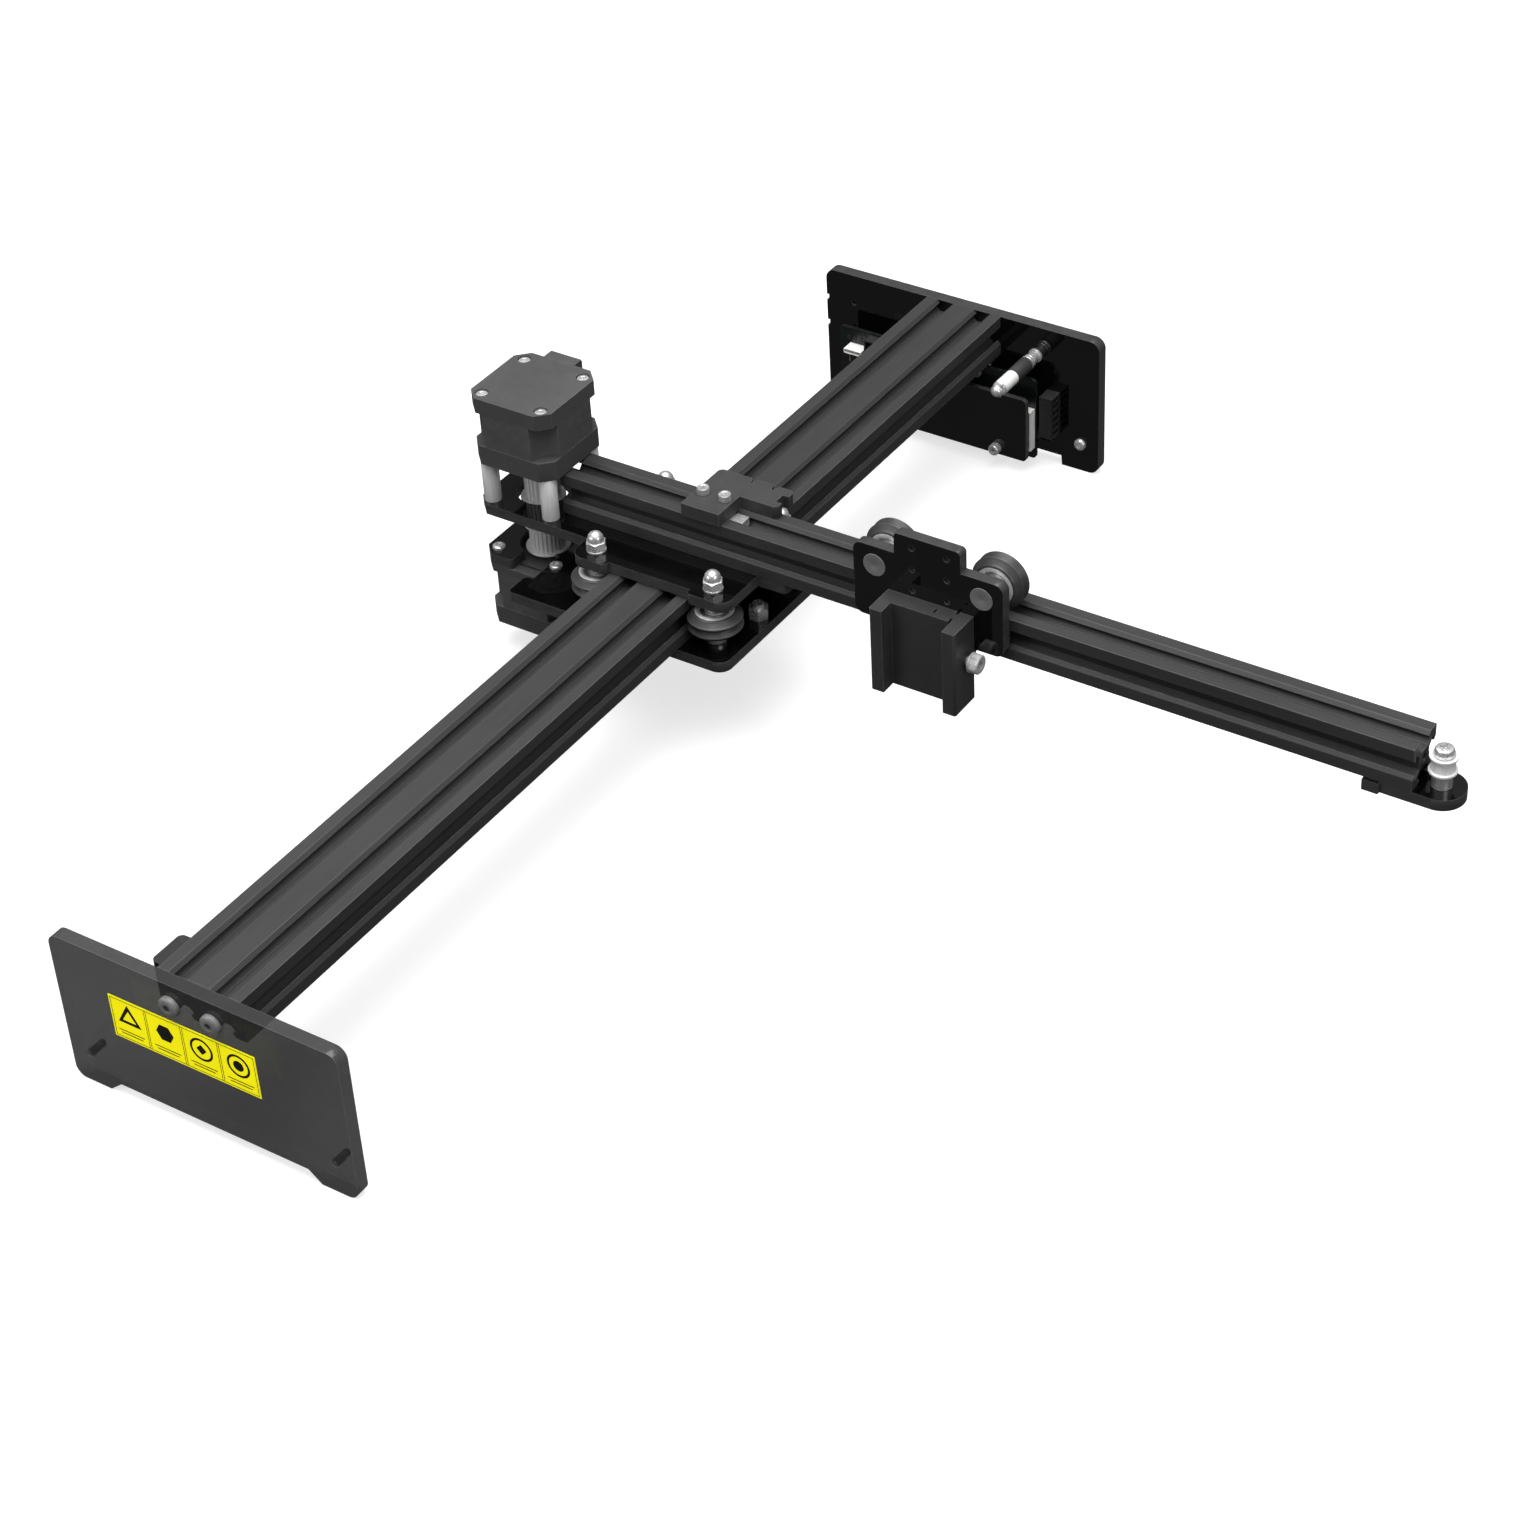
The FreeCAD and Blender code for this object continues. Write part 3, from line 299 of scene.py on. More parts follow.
def smoked_acrylic(name):
    """Smoky see-through plastic, its polished skin only slightly uneven."""
    r = Recipe(name, Metallic=0.0, Specular_IOR_Level=0.5, Alpha=0.82)
    cloud = r.noise(18, detail=3)
    base = r.tint(r.spread(cloud, 0, 1), (0.030, 0.030, 0.031), (0.040, 0.040, 0.041))
    # Edges tinted lighter: a painted highlight of light caught in the plate's edges.
    edge = r.edges(0.0006)
    r.colour(r.tint(r.times(edge, 0.6), base, (0.16, 0.16, 0.165)))
    r.roughness(r.spread(r.noise(260, stretch=(1, 1, 0.08)), 0.12, 0.22))
    r.bump(r.noise(120, detail=2), 0.00002, 0.2)
    return r.material


def steel(name, base=0.84, rough=(0.22, 0.34), along=(1, 1, 1), warm=1.0, metal=0.7):
    """Bright plated steel, lightly brushed, with small dark pits."""
    r = Recipe(name, Metallic=metal)
    cloud = r.noise(260, detail=3)
    dark = (base * 0.72, base * 0.72 * warm, base * 0.72 * warm)
    light = (base, base * warm, base * warm)
    smudge = r.tint(r.spread(cloud, 0, 1), dark, light)
    pits = r.cells(2400)
    r.colour(r.tint(r.spread(pits, 0.4, 0, 0.0, 0.12), smudge, (0.28, 0.27, 0.26)))
    r.roughness(r.spread(r.noise(900, stretch=along), *rough))
    r.bump(r.noise(3200, stretch=along, detail=2), 0.00003, 0.3)
    return r.material


def satin(name, base=0.62, along=(1, 1, 0.05), metal=0.45):
    """Satin turned aluminium with fine tool lines."""
    r = Recipe(name, Metallic=metal)
    lines = r.noise(1800, stretch=along, detail=2)
    r.colour(r.tint(r.spread(lines, 0, 1), base * 0.82, base))
    r.roughness(r.spread(r.noise(500), 0.32, 0.46))
    r.bump(lines, 0.00003, 0.4)
    return r.material


def painted(name, base, grain=900, depth=0.00008, rough=(0.42, 0.58)):
    """Matte dark paint over cast metal: orange-peel grain, and a painted highlight lighter on its edges."""
    r = Recipe(name, Metallic=0.0, Specular_IOR_Level=0.4)
    cloud = r.noise(28, detail=4)
    body = r.tint(r.spread(cloud, 0, 1), base * 0.82, base * 1.15)
    # Edges tinted lighter in patches: a painted highlight on the edges.
    painted_edge_highlight = r.times(r.edges(0.0008), r.spread(r.noise(330), 0.1, 0.7))
    r.colour(r.tint(painted_edge_highlight, body, 0.15))
    r.roughness(r.spread(r.noise(300), *rough))
    r.bump(r.noise(grain, detail=3), depth, 0.45)
    return r.material


def moulded(name, base, rough=(0.35, 0.5), grain=2200, depth=0.00003, edge=1.8):
    """Moulded plastic: fine grain, soft sheen, a painted highlight on its edges."""
    r = Recipe(name, Metallic=0.0, Specular_IOR_Level=0.45)
    colour = base if isinstance(base, tuple) else (base,) * 3
    cloud = r.noise(60, detail=3)
    body = r.tint(r.spread(cloud, 0, 1), tuple(part * 0.86 for part in colour), colour)
    # The edges are tinted lighter by the factor edge: a painted highlight.
    painted_edge_highlight_colour = tuple(min(1.0, part * edge) for part in colour)
    r.colour(r.tint(r.times(r.edges(0.0005), 0.5), body, painted_edge_highlight_colour))
    r.roughness(r.spread(r.noise(400), *rough))
    r.bump(r.noise(grain, detail=2), depth, 0.4)
    return r.material


def turned_plastic(name, base):
    """Acetal turned on a lathe: mottled tone with a fine grain."""
    r = Recipe(name, Metallic=0.0, Specular_IOR_Level=0.5)
    body = r.tint(r.spread(r.noise(140, detail=3), 0, 1), base * 0.8, base * 1.25)
    # Edges tinted halfway toward 4.5 times the base: a painted rim highlight.
    r.colour(r.tint(r.times(r.edges(0.0005), 0.5), body, base * 4.5))
    r.roughness(r.spread(r.noise(700), 0.30, 0.44))
    r.bump(r.noise(2600, detail=2), 0.00003, 0.35)
    return r.material


def label_film(name):
    """Printed film: even yellow with a faint dot screen and a satin varnish, and a painted yellow glow from
    emission.
    """
    r = Recipe(name, Metallic=0.0, Specular_IOR_Level=0.35,
               Emission_Color=(1.0, 0.88, 0.0, 1), Emission_Strength=0.45)
    screen = r.cells(2600)
    wide = r.noise(40, detail=3)
    yellow = r.tint(r.spread(wide, 0, 1), (0.90, 0.86, 0.002), (0.98, 0.94, 0.004))
    r.colour(r.tint(r.spread(screen, 0.12, 0, 0.05, 0.3), yellow, (0.80, 0.74, 0.002)))
    r.roughness(r.spread(r.noise(300), 0.38, 0.5))
    r.bump(r.noise(800, detail=2), 0.00001, 0.3)
    return r.material


def board_mask(name):
    """Black solder mask with faint copper tracks under it."""
    r = Recipe(name, Metallic=0.0, Specular_IOR_Level=0.5)
    tracks = r.rings(300, "X", 5.0)
    cross = r.rings(240, "Z", 6.0)
    lines = r.times(r.spread(tracks, 0, 1, 0.62, 0.70), r.spread(cross, 1, 0, 0.4, 0.6))
    r.colour(r.tint(lines, (0.003, 0.005, 0.0045), (0.010, 0.016, 0.014)))
    r.roughness(r.spread(r.noise(500), 0.22, 0.34))
    r.bump(lines, 0.00004, 0.5)
    return r.material


def floor_material(name, glow):
    """Pale paper that glows a little."""
    r = Recipe(name, Metallic=0.0, Specular_IOR_Level=0.1, Roughness=0.9,
               Emission_Color=(1, 1, 1, 1), Emission_Strength=glow)
    r.colour(r.tint(r.spread(r.noise(3, detail=2), 0, 1), 0.44, 0.46))
    return r.material


UPRIGHT_GLOSS = black_gloss("UprightGloss", "y")
RAIL_ANODISED = anodised("RailAnodised", "y")
ARM_ANODISED = anodised("ArmAnodised", "x")
SLOT_MATERIALS = {
    "smoked_acrylic": smoked_acrylic("SmokedAcrylic"),
    "black_gloss": black_gloss("BlackGloss", "z"),
    "zinc_steel": steel("ZincSteel"),
    "label_yellow": label_film("LabelFilm"),
    "board_green": board_mask("BoardMask"),
    "cover_dark": black_gloss("CoverGloss", "y"),
    "nylon_white": moulded("NylonWhite", (0.80, 0.80, 0.78), edge=1.0),
    "moulded_black": moulded("MouldedBlack", 0.020),
    "rubber_black": moulded("RubberBlack", 0.028, rough=(0.55, 0.75), grain=1400, depth=0.00006),
    "satin_aluminium": satin("SatinAluminium", 0.86, metal=0.2),
    "wheel_black": turned_plastic("WheelAcetal", 0.045),
    "bearing_steel": steel("BearingSteel", 0.88, (0.30, 0.42), metal=0.25),
    "motor_cap": painted("MotorCapPaint", 0.062),
    "motor_stack": painted("MotorStackPaint", 0.058, grain=1600, depth=0.00003),
    "pulley_metal": satin("PulleyAluminium", 0.94, (1, 1, 0.08), 0.1),
    "bracket_grey": painted("BracketPaint", 0.036, grain=1500, depth=0.00004),
    "holder_grey": painted("HolderAnodised", 0.034, grain=2000, depth=0.00004, rough=(0.4, 0.52)),
}
NODE_SLOTS = {entry["node"]: entry["material_slot"] for entry in frame["record"]["subparts"]}


def material_of(node):
    if node == "rail":
        return RAIL_ANODISED
    if node == "arm":
        return ARM_ANODISED
    if node in ("rear_plate", "laser_plate"):
        return UPRIGHT_GLOSS
    return SLOT_MATERIALS[NODE_SLOTS[node]]


def add_bevel(thing, width, angle, miter="MITER_SHARP"):
    bevel = thing.modifiers.new("Bevel", "BEVEL")
    bevel.width = width
    bevel.segments = 2
    bevel.limit_method = "ANGLE"
    bevel.angle_limit = math.radians(angle)
    bevel.miter_outer = miter
    bevel.harden_normals = True


def dress(node, width):
    """A CAD node gets its material and a small real bevel on its sharp edges."""
    thing = frame["nodes"][node]
    thing.data.materials.clear()
    thing.data.materials.append(material_of(node))
    weld = thing.modifiers.new("Weld", "WELD")
    weld.merge_threshold = 0.000005
    if width > 0:
        add_bevel(thing, width, 35, "MITER_ARC")


PLAIN_BEVEL = 0.0003
BEVELS = {
    "rail": 0.00025, "arm": 0.00025, "front_plate": 0.0006, "rear_plate": 0.0006,
    "upper_plate": 0.0005, "lower_plate": 0.0005, "laser_plate": 0.0005, "tip_plate": 0.0006,
    "arm_bracket": 0.0005, "laser_holder": 0.0005, "front_label": 0.0,
}
for name in frame["nodes"]:
    dress(name, BEVELS.get(name, PLAIN_BEVEL))


# ---------------------------------------------------------------- mesh builders


def middle(node):
    low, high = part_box(node)
    return (low + high) / 2


def skin(work, rings, closed=False, capped=True):
    """Joins rings of points, all of one length, with faces, and caps the two end rings."""
    made = [[work.verts.new(point) for point in ring] for ring in rings]
    pairs = list(zip(made, made[1:]))
    if closed:
        pairs.append((made[-1], made[0]))
    for first, second in pairs:
        count = len(first)
        for index in range(count):
            following = (index + 1) % count
            work.faces.new((first[index], first[following], second[following], second[index]))
    if capped and not closed:
        work.faces.new(made[0][::-1])
        work.faces.new(made[-1])


def spun(work, at, axis, profile, count=64):
    """Turns a (radius, height) profile about an axis. The profile may depend on the angle."""
    turn = Vector((0, 0, 1)).rotation_difference(Vector(axis))
    at = Vector(at)
    angles = [2 * math.pi * step / count for step in range(count)]
    outlines = [profile(angle) if callable(profile) else profile for angle in angles]
    rings = []
    for level in range(len(outlines[0])):
        ring = []
        for angle, outline in zip(angles, outlines):
            radius, height = outline[level]
            radius = max(radius, 0.000002)
            spot = Vector((radius * math.cos(angle), radius * math.sin(angle), height))
            ring.append(at + turn @ spot)
        rings.append(ring)
    hollow = (Vector(outlines[0][0]) - Vector(outlines[0][-1])).length < 1e-9
    if hollow:
        rings.pop()
    skin(work, rings, closed=hollow)


def block(work, low, high):
    corners = [(low[0], low[1]), (high[0], low[1]), (high[0], high[1]), (low[0], high[1])]
    skin(work, [[(x, y, z) for x, y in corners] for z in (low[2], high[2])])


def extruded(work, outline, place):
    """A flat outline pushed through two heights; place(x, y, height) gives the point in space."""
    skin(work, [[place(x, y, level) for x, y in outline] for level in (0, 1)])


def finish_piece(name, work, body, slot, material=None, replaces=(), bevel=0.0, angle=32):
    """Turns a bmesh into a finished piece. Without a material of its own it takes its slot's."""
    bmesh.ops.remove_doubles(work, verts=work.verts, dist=0.000001)
    bmesh.ops.recalc_face_normals(work, faces=work.faces)
    data = bpy.data.meshes.new(name)
    work.to_mesh(data)
    work.free()
    data.shade_smooth()
    data.set_sharp_from_angle(angle=math.radians(angle))
    data.materials.append(material or SLOT_MATERIALS[slot])
    piece = bpy.data.objects.new(name, data)
    bpy.context.scene.collection.objects.link(piece)
    if bevel > 0:
        add_bevel(piece, bevel, angle)
    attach(piece, body)
    if replaces:
        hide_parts(*replaces)


def hexagon_reach(angle, across_flats):
    """How far a hexagon reaches from its centre at an angle."""
    sector = math.radians(60)
    return across_flats / 2 / math.cos((angle % sector) - sector / 2)


def cross_reach(angle, half_width, length):
    """How far a cross of two bars reaches from its centre at an angle."""
    quarter = math.radians(90)
    off = abs((angle + quarter / 2) % quarter - quarter / 2)
    return length if off < 1e-6 else min(length, half_width / math.sin(off))


# ---------------------------------------------------------------- fasteners


def acorn_profile(size, hex_height, dome_radius, dome_rise):
    """Hexagon with chamfered corners, a turned neck and a domed cap."""
    flat = size * 0.475
    slope = 0.5

    def outline(angle):
        reach = hexagon_reach(angle, size)
        drop = max(0.0, reach - flat) * slope
        points = [(0, 0), (flat, 0), (reach, drop), (reach, hex_height - drop), (flat, hex_height),
                  (dome_radius + 0.15 * MM, hex_height)]
        centre = hex_height + dome_rise
        points.append((dome_radius, hex_height + 0.2 * MM))
        for step in range(9):
            lift = math.radians(90 * step / 8)
            points.append((dome_radius * math.cos(lift), centre + dome_radius * math.sin(lift)))
        return points
    return outline


def socket_head(radius, height, key, knurl=0.0, dome=0.0):
    """A screw head with a hexagon socket, flat or domed, its rim chamfered."""
    chamfer = 0.12 * radius

    def outline(angle):
        side = radius + (knurl if int(round(angle / (2 * math.pi) * 72)) % 2 else 0.0)
        socket = hexagon_reach(angle, key)
        lip = key * 0.62
        depth = height * 0.55
        points = [(0, 0), (radius * 0.94, 0), (side, 0.04 * radius)]
        if dome:
            for step in range(1, 7):
                lift = math.radians(15 * step)
                spread = lip + (radius - lip) * math.cos(lift)
                points.append((spread, height - dome + dome * math.sin(lift)))
        else:
            points += [(side, height - chamfer), (radius - chamfer, height)]
            points.append((lip, height))
        points += [(socket, height - 0.12 * MM), (socket, height - depth), (0, height - depth * 1.1)]
        return points
    return outline


def shank(radius, length, point=0.4 * MM):
    """A plain rod with a chamfered end."""
    return [(0, 0), (radius, 0), (radius, length - point), (radius - point, length), (0, length)]


def cross_head(radius, height, washer):
    """A pan head with a cross recess on a plain washer."""
    def outline(angle):
        reach = cross_reach(angle, 0.45 * MM, 2.2 * MM)
        low = washer[1]
        return [(0, 0), (washer[0] - 0.1 * MM, 0), (washer[0], 0.1 * MM), (washer[0], low - 0.1 * MM),
                (washer[0] - 0.1 * MM, low), (radius, low), (radius, low + height * 0.62),
                (radius * 0.9, low + height * 0.9), (radius * 0.72, low + height),
                (reach, low + height), (reach * 0.8, low + height * 0.45), (0, low + height * 0.4)]
    return outline


HEAD_SIDES = 72
AXLE = 2.48 * MM
MOTOR_WELL = 2.2 * MM
STEEL = SLOT_MATERIALS["zinc_steel"]
DULL_STEEL = steel("DullSteel", 0.30, (0.42, 0.55), metal=0.4)
DISC_STEEL = satin("DiscSteel", 0.24, (1, 1, 1), 0.3)
CLAMP_STEEL = satin("ClampSteel", 0.60, (0.1, 1, 1), 0.3)
SHIELD_STEEL = steel("ShieldSteel", 0.42, (0.28, 0.42))
RAIL_WHEELS = ("front_left", "front_right", "rear_left", "rear_right")
LASER_WHEELS = ("upper_left", "upper_right", "lower")
AXLES = [middle("wheel_" + name) for name in RAIL_WHEELS]


def make_acorn_nuts():
    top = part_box("upper_plate")[1].z
    work = bmesh.new()
    for axle in AXLES:
        spun(work, (axle.x, axle.y, top), UP, [(0, 0), (4.25 * MM, 0), (4.35 * MM, 0.15 * MM),
             (4.35 * MM, 0.75 * MM), (4.2 * MM, 0.9 * MM), (0, 0.9 * MM)], 64)
        spun(work, (axle.x, axle.y, top + 0.9 * MM), UP,
             acorn_profile(7.9 * MM, 3.9 * MM, 3.55 * MM, 0.9 * MM), HEAD_SIDES)
    finish_piece("acorn_nuts", work, "long_carriage", "zinc_steel", STEEL, ["axle_acorn_nuts"])


def make_axle_heads():
    """Button heads under the lower plate; the axles themselves run up through the wheels."""
    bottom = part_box("lower_plate")[0].z
    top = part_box("upper_plate")[1].z
    work = bmesh.new()
    for axle in AXLES:
        at = (axle.x, axle.y, bottom)
        spun(work, at, DOWN, socket_head(4.6 * MM, 2.7 * MM, 3.0 * MM, dome=1.6 * MM), HEAD_SIDES)
        spun(work, at, UP, [(0, 0), (AXLE, 0), (AXLE, top - bottom), (0, top - bottom)])
    finish_piece("carriage_axles", work, "long_carriage", "zinc_steel", STEEL, ["axle_bolts"])


def motor_corners(node):
    spot = middle(node)
    reach = 15.5 * MM
    return [(spot.x + sx * reach, spot.y + sy * reach) for sx in (-1, 1) for sy in (-1, 1)]


def make_motor_screws():
    work = bmesh.new()
    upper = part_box("arm_motor_upper_cap")[1].z - MOTOR_WELL
    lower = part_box("lower_plate")[1].z
    for x, y in motor_corners("arm_motor_upper_cap"):
        spun(work, (x, y, upper), UP, socket_head(2.7 * MM, 1.7 * MM, 2.0 * MM, dome=0.45 * MM), HEAD_SIDES)
        spun(work, (x, y, lower), UP, socket_head(2.9 * MM, 1.75 * MM, 2.0 * MM, dome=0.9 * MM), HEAD_SIDES)
    finish_piece("motor_cap_screws", work, "long_carriage", "zinc_steel", STEEL, ["motor_screws"])


def make_rail_end_screws():
    rail = middle("rail")
    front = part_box("front_plate")[0].y
    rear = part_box("rear_plate")[1].y
    work = bmesh.new()
    for side in (-1, 1):
        for y, facing in ((front, -1), (rear, 1)):
            spun(work, (rail.x + side * 10 * MM, y, rail.z), (0, facing, 0),
                 socket_head(4.6 * MM, 2.7 * MM, 3.0 * MM, dome=1.2 * MM), HEAD_SIDES)
    finish_piece("rail_screw_heads", work, "frame", "zinc_steel", DULL_STEEL, ["rail_end_screws"])


# ---------------------------------------------------------------- wheels and bearings


def rounded_profile(points, radius, steps=3):
    """Rounds each corner of a closed outline by cutting it with a few short chords."""
    result = []
    count = len(points)
    for index in range(count):
        before, here, after = (Vector(points[(index + shift) % count]) for shift in (-1, 0, 1))
        to_before, to_after = (before - here), (after - here)
        reach = min(radius, to_before.length * 0.45, to_after.length * 0.45)
        start, stop = here + to_before.normalized() * reach, here + to_after.normalized() * reach
        for step in range(steps + 1):
            share = step / steps
            rest = 1 - share
            result.append(tuple(rest ** 2 * start + 2 * share * rest * here + share ** 2 * stop))
    return result


WHEEL_PROFILE = [(8.5, -5.1), (9.0, -5.1), (9.5, -4.9), (9.85, -4.38), (11.33, -2.9), (12.0, -2.4),
                 (12.0, -2.0), (10.1, 0), (12.0, 2.0), (12.0, 2.4), (11.33, 2.9), (9.85, 4.38),
                 (9.5, 4.9), (9.0, 5.1), (8.5, 5.1)]
RACE_PROFILE = [(2.55, -5.1), (3.9, -5.1), (3.9, -4.7), (6.7, -4.7), (6.7, -5.1), (8.5, -5.1),
                (8.5, 5.1), (6.7, 5.1), (6.7, 4.7), (3.9, 4.7), (3.9, 5.1), (2.55, 5.1)]
SHIELD_PROFILE = [(4.0, 4.62), (4.35, 4.62), (4.6, 4.84), (6.1, 4.84), (6.45, 4.62), (6.65, 4.62),
                  (6.65, 4.2), (4.0, 4.2)]


def scaled(profile):
    return [(radius * MM, height * MM) for radius, height in profile]


def closed(profile):
    return profile + profile[:1]


def make_roller(place_name, axis):
    node = "wheel_" + place_name
    body = "roller_" + place_name
    at = middle(node)
    work = bmesh.new()
    spun(work, at, axis, closed(rounded_profile(scaled(WHEEL_PROFILE), 0.18 * MM)), 96)
    finish_piece("tyre_" + place_name, work, body, "wheel_black", None, [node], angle=28)
    work = bmesh.new()
    spun(work, at, axis, closed(rounded_profile(scaled(RACE_PROFILE), 0.12 * MM, 2)), 72)
    finish_piece("races_" + place_name, work, body, "bearing_steel", None,
                 ["bearing_" + place_name])
    work = bmesh.new()
    for way in (1, -1):
        facing = tuple(part * way for part in axis)
        spun(work, at, facing, closed(scaled(SHIELD_PROFILE)), 72)
    finish_piece("shields_" + place_name, work, body, "bearing_steel", SHIELD_STEEL)


# ---------------------------------------------------------------- pulleys


# 25 teeth at 2 mm pitch, as the couplings have it.
PULLEY_TEETH = 25
TOOTH_DEPTH = 0.75 * MM


def tooth_reach(angle, count, outer, depth):
    """Belt teeth: rounded grooves between narrow lands."""
    phase = (angle * count / (2 * math.pi)) % 1.0
    groove = max(0.0, math.sin(math.pi * min(1.0, phase / 0.62)))
    return outer - depth * groove ** 0.6


def toothed_pulley(work, at, core, flange, low, high, hub, hub_low, hub_high, shaft, shaft_low, shaft_high):
    def belt_teeth(angle):
        reach = tooth_reach(angle, PULLEY_TEETH, core, TOOTH_DEPTH)
        return [(0, low), (reach, low), (reach, high), (0, high)]

    spun(work, at, UP, belt_teeth, 400)
    for level, way in ((low, -1), (high, 1)):
        face = level + way * 1.0 * MM
        spun(work, at, UP, [
            (0, level), (core + 0.3 * MM, level), (flange - 0.3 * MM, level - way * 0.15 * MM),
            (flange, level + way * 0.2 * MM), (flange, face - way * 0.15 * MM),
            (flange - 0.2 * MM, face), (0, face)], 96)
    for start, stop in ((hub_low, low - 1.0 * MM), (high + 1.0 * MM, hub_high)):
        if stop - start > 0.4 * MM:
            spun(work, at, UP, [
                (0, start), (hub - 0.3 * MM, start), (hub, start + 0.3 * MM),
                (hub, stop - 0.1 * MM), (hub, stop), (0, stop)], 64)
    rim = 0.2 * MM
    spun(work, at, UP, [(0, shaft_low), (shaft - rim, shaft_low), (shaft, shaft_low + rim),
                        (shaft, shaft_high - rim), (shaft - rim, shaft_high), (0, shaft_high)], 48)


def make_toothed_pulleys():
    for node, base, low, high, hub_low, hub_high, shaft_low, shaft_high in (
            ("arm_pulley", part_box("upper_plate")[1].z - 3.0 * MM, 1.2, 15.2, -1.5, 17.5, -3.0, 25.6),
            ("rail_pulley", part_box("lower_plate")[1].z - 3.0 * MM, 1.2, 12.8, -1.5, 14.4, -5.0, 15.6)):
        spot = middle(node)
        work = bmesh.new()
        toothed_pulley(work, (spot.x, spot.y, base), 8.0 * MM, 9.95 * MM, low * MM, high * MM, 6.0 * MM,
                       hub_low * MM, hub_high * MM, 2.5 * MM, shaft_low * MM, shaft_high * MM)
        finish_piece("toothed_" + node, work, node, "pulley_metal", None, [node], angle=38)


# ---------------------------------------------------------------- motors


def make_lamination(node):
    """A stack of thin steel sheets: shallow grooves all round, corners cut back."""
    low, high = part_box(node)
    pitch = 0.62 * MM
    groove = 0.05 * MM
    sheets = round((high.z - low.z) / pitch)
    pitch = (high.z - low.z) / sheets
    centre = (low + high) / 2
    half = (high.x - low.x) / 2
    cut = 9.0 * MM
    steps = 6
    outline = []
    for quarter in range(4):
        turn = math.radians(90 * quarter)
        for step in range(steps + 1):
            swing = math.radians(270 - 90 * step / steps)
            x, y = half + cut * math.cos(swing) * 0.9, half + cut * math.sin(swing) * 0.9
            x, y = (half, half - cut) if step == 0 else (half - cut, half) if step == steps else (x, y)
            outline.append((x * math.cos(turn) - y * math.sin(turn), x * math.sin(turn) + y * math.cos(turn)))
    rings = []
    for sheet in range(sheets):
        base = low.z + sheet * pitch
        for level, inset in ((0.0, groove), (0.08, 0.0), (0.92, 0.0), (1.0, groove)):
            share = 1 - inset / half
            rings.append([(centre.x + x * share, centre.y + y * share, base + level * pitch)
                          for x, y in outline])
    work = bmesh.new()
    skin(work, rings)
    finish_piece("laminations_" + node, work, "long_carriage", "motor_stack", None,
                 [node], angle=25)


# ---------------------------------------------------------------- more fasteners


def make_corner_bolts():
    """Small screws behind the smoky front plate and inside the rear plate."""
    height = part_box("corner_bolts")[0].z + 2.9 * MM
    inset = 9.5 * MM
    front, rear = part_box("front_plate"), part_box("rear_plate")
    # The front screws take the dark cap paint, a painted shade; the same screws inside the rear plate are
    # bright steel.
    for name, plate, inner, facing, head, shank, material in (
            ("front_corner_bolts", front, front[1].y, 1, 1.6 * MM, 0.9 * MM, SLOT_MATERIALS["motor_cap"]),
            ("rear_corner_bolts", rear, rear[0].y, -1, 2.9 * MM, 1.5 * MM, STEEL)):
        work = bmesh.new()
        for x in (plate[0].x + inset, plate[1].x - inset):
            spun(work, (x, inner, height), (0, facing, 0),
                 socket_head(head, 2.2 * MM, head * 0.7, dome=head * 0.4), HEAD_SIDES)
            spun(work, (x, inner, height), (0, -facing, 0),
                 [(0, 0), (shank, 0), (shank, 5.5 * MM), (shank * 0.7, 5.9 * MM), (0, 5.9 * MM)], 32)
        replaced = ["corner_bolts"] if facing == 1 else []
        finish_piece(name, work, "frame", "zinc_steel", material, replaced)


def make_bracket_screws():
    low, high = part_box("arm_bracket_screws")
    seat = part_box("arm_bracket")[1].z
    radius = 2.75 * MM
    work = bmesh.new()
    for x in (low.x + radius, high.x - radius):
        at = (x, (low.y + high.y) / 2, seat)
        spun(work, at, UP, socket_head(radius, 3.0 * MM, 2.5 * MM, knurl=-0.12 * MM), HEAD_SIDES)
        spun(work, at, DOWN, shank(1.5 * MM, 9 * MM), 32)
    finish_piece("bracket_cap_screws", work, "long_carriage", "zinc_steel", STEEL, ["arm_bracket_screws"])


def make_laser_axles():
    """Flat discs flush with the laser plate; the axles run back through the wheels."""
    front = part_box("laser_plate")[0].y
    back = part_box("laser_axle_bolts")[1].y
    work = bmesh.new()
    for name in LASER_WHEELS:
        spot = middle("wheel_" + name)
        if name != "lower":
            spun(work, (spot.x, front, spot.z), FORWARD, [
                (0, -0.1 * MM), (5.2 * MM, -0.1 * MM), (5.2 * MM, 0.18 * MM), (5.05 * MM, 0.3 * MM),
                (1.3 * MM, 0.3 * MM), (1.1 * MM, 0.22 * MM), (0, 0.22 * MM)], 72)
        spun(work, (spot.x, front, spot.z), BACKWARD, [
            (0, 0), (AXLE, 0), (AXLE, back - front - 0.4 * MM), (2.1 * MM, back - front),
            (0, back - front)], 48)
    finish_piece("laser_axle_discs", work, "laser_carriage", "zinc_steel", DISC_STEEL, ["laser_axle_bolts"])


def make_plate_inserts():
    """Threaded inserts in the six holes of the laser plate."""
    low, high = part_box("laser_plate")
    middle_x = (low.x + high.x) / 2 + 0.9 * MM
    work = bmesh.new()
    for x in (middle_x - 8.1 * MM, middle_x + 8.1 * MM):
        for drop in (5.25 * MM, 15.5 * MM, 25.75 * MM):
            spun(work, (x, low.y, high.z - drop), BACKWARD, closed([
                (1.36 * MM, 1.5 * MM), (1.36 * MM, 4.8 * MM), (0.9 * MM, 4.8 * MM), (0.9 * MM, 1.9 * MM),
                (1.05 * MM, 1.5 * MM)]), 40)
    finish_piece("plate_inserts", work, "laser_carriage", "zinc_steel", DULL_STEEL)


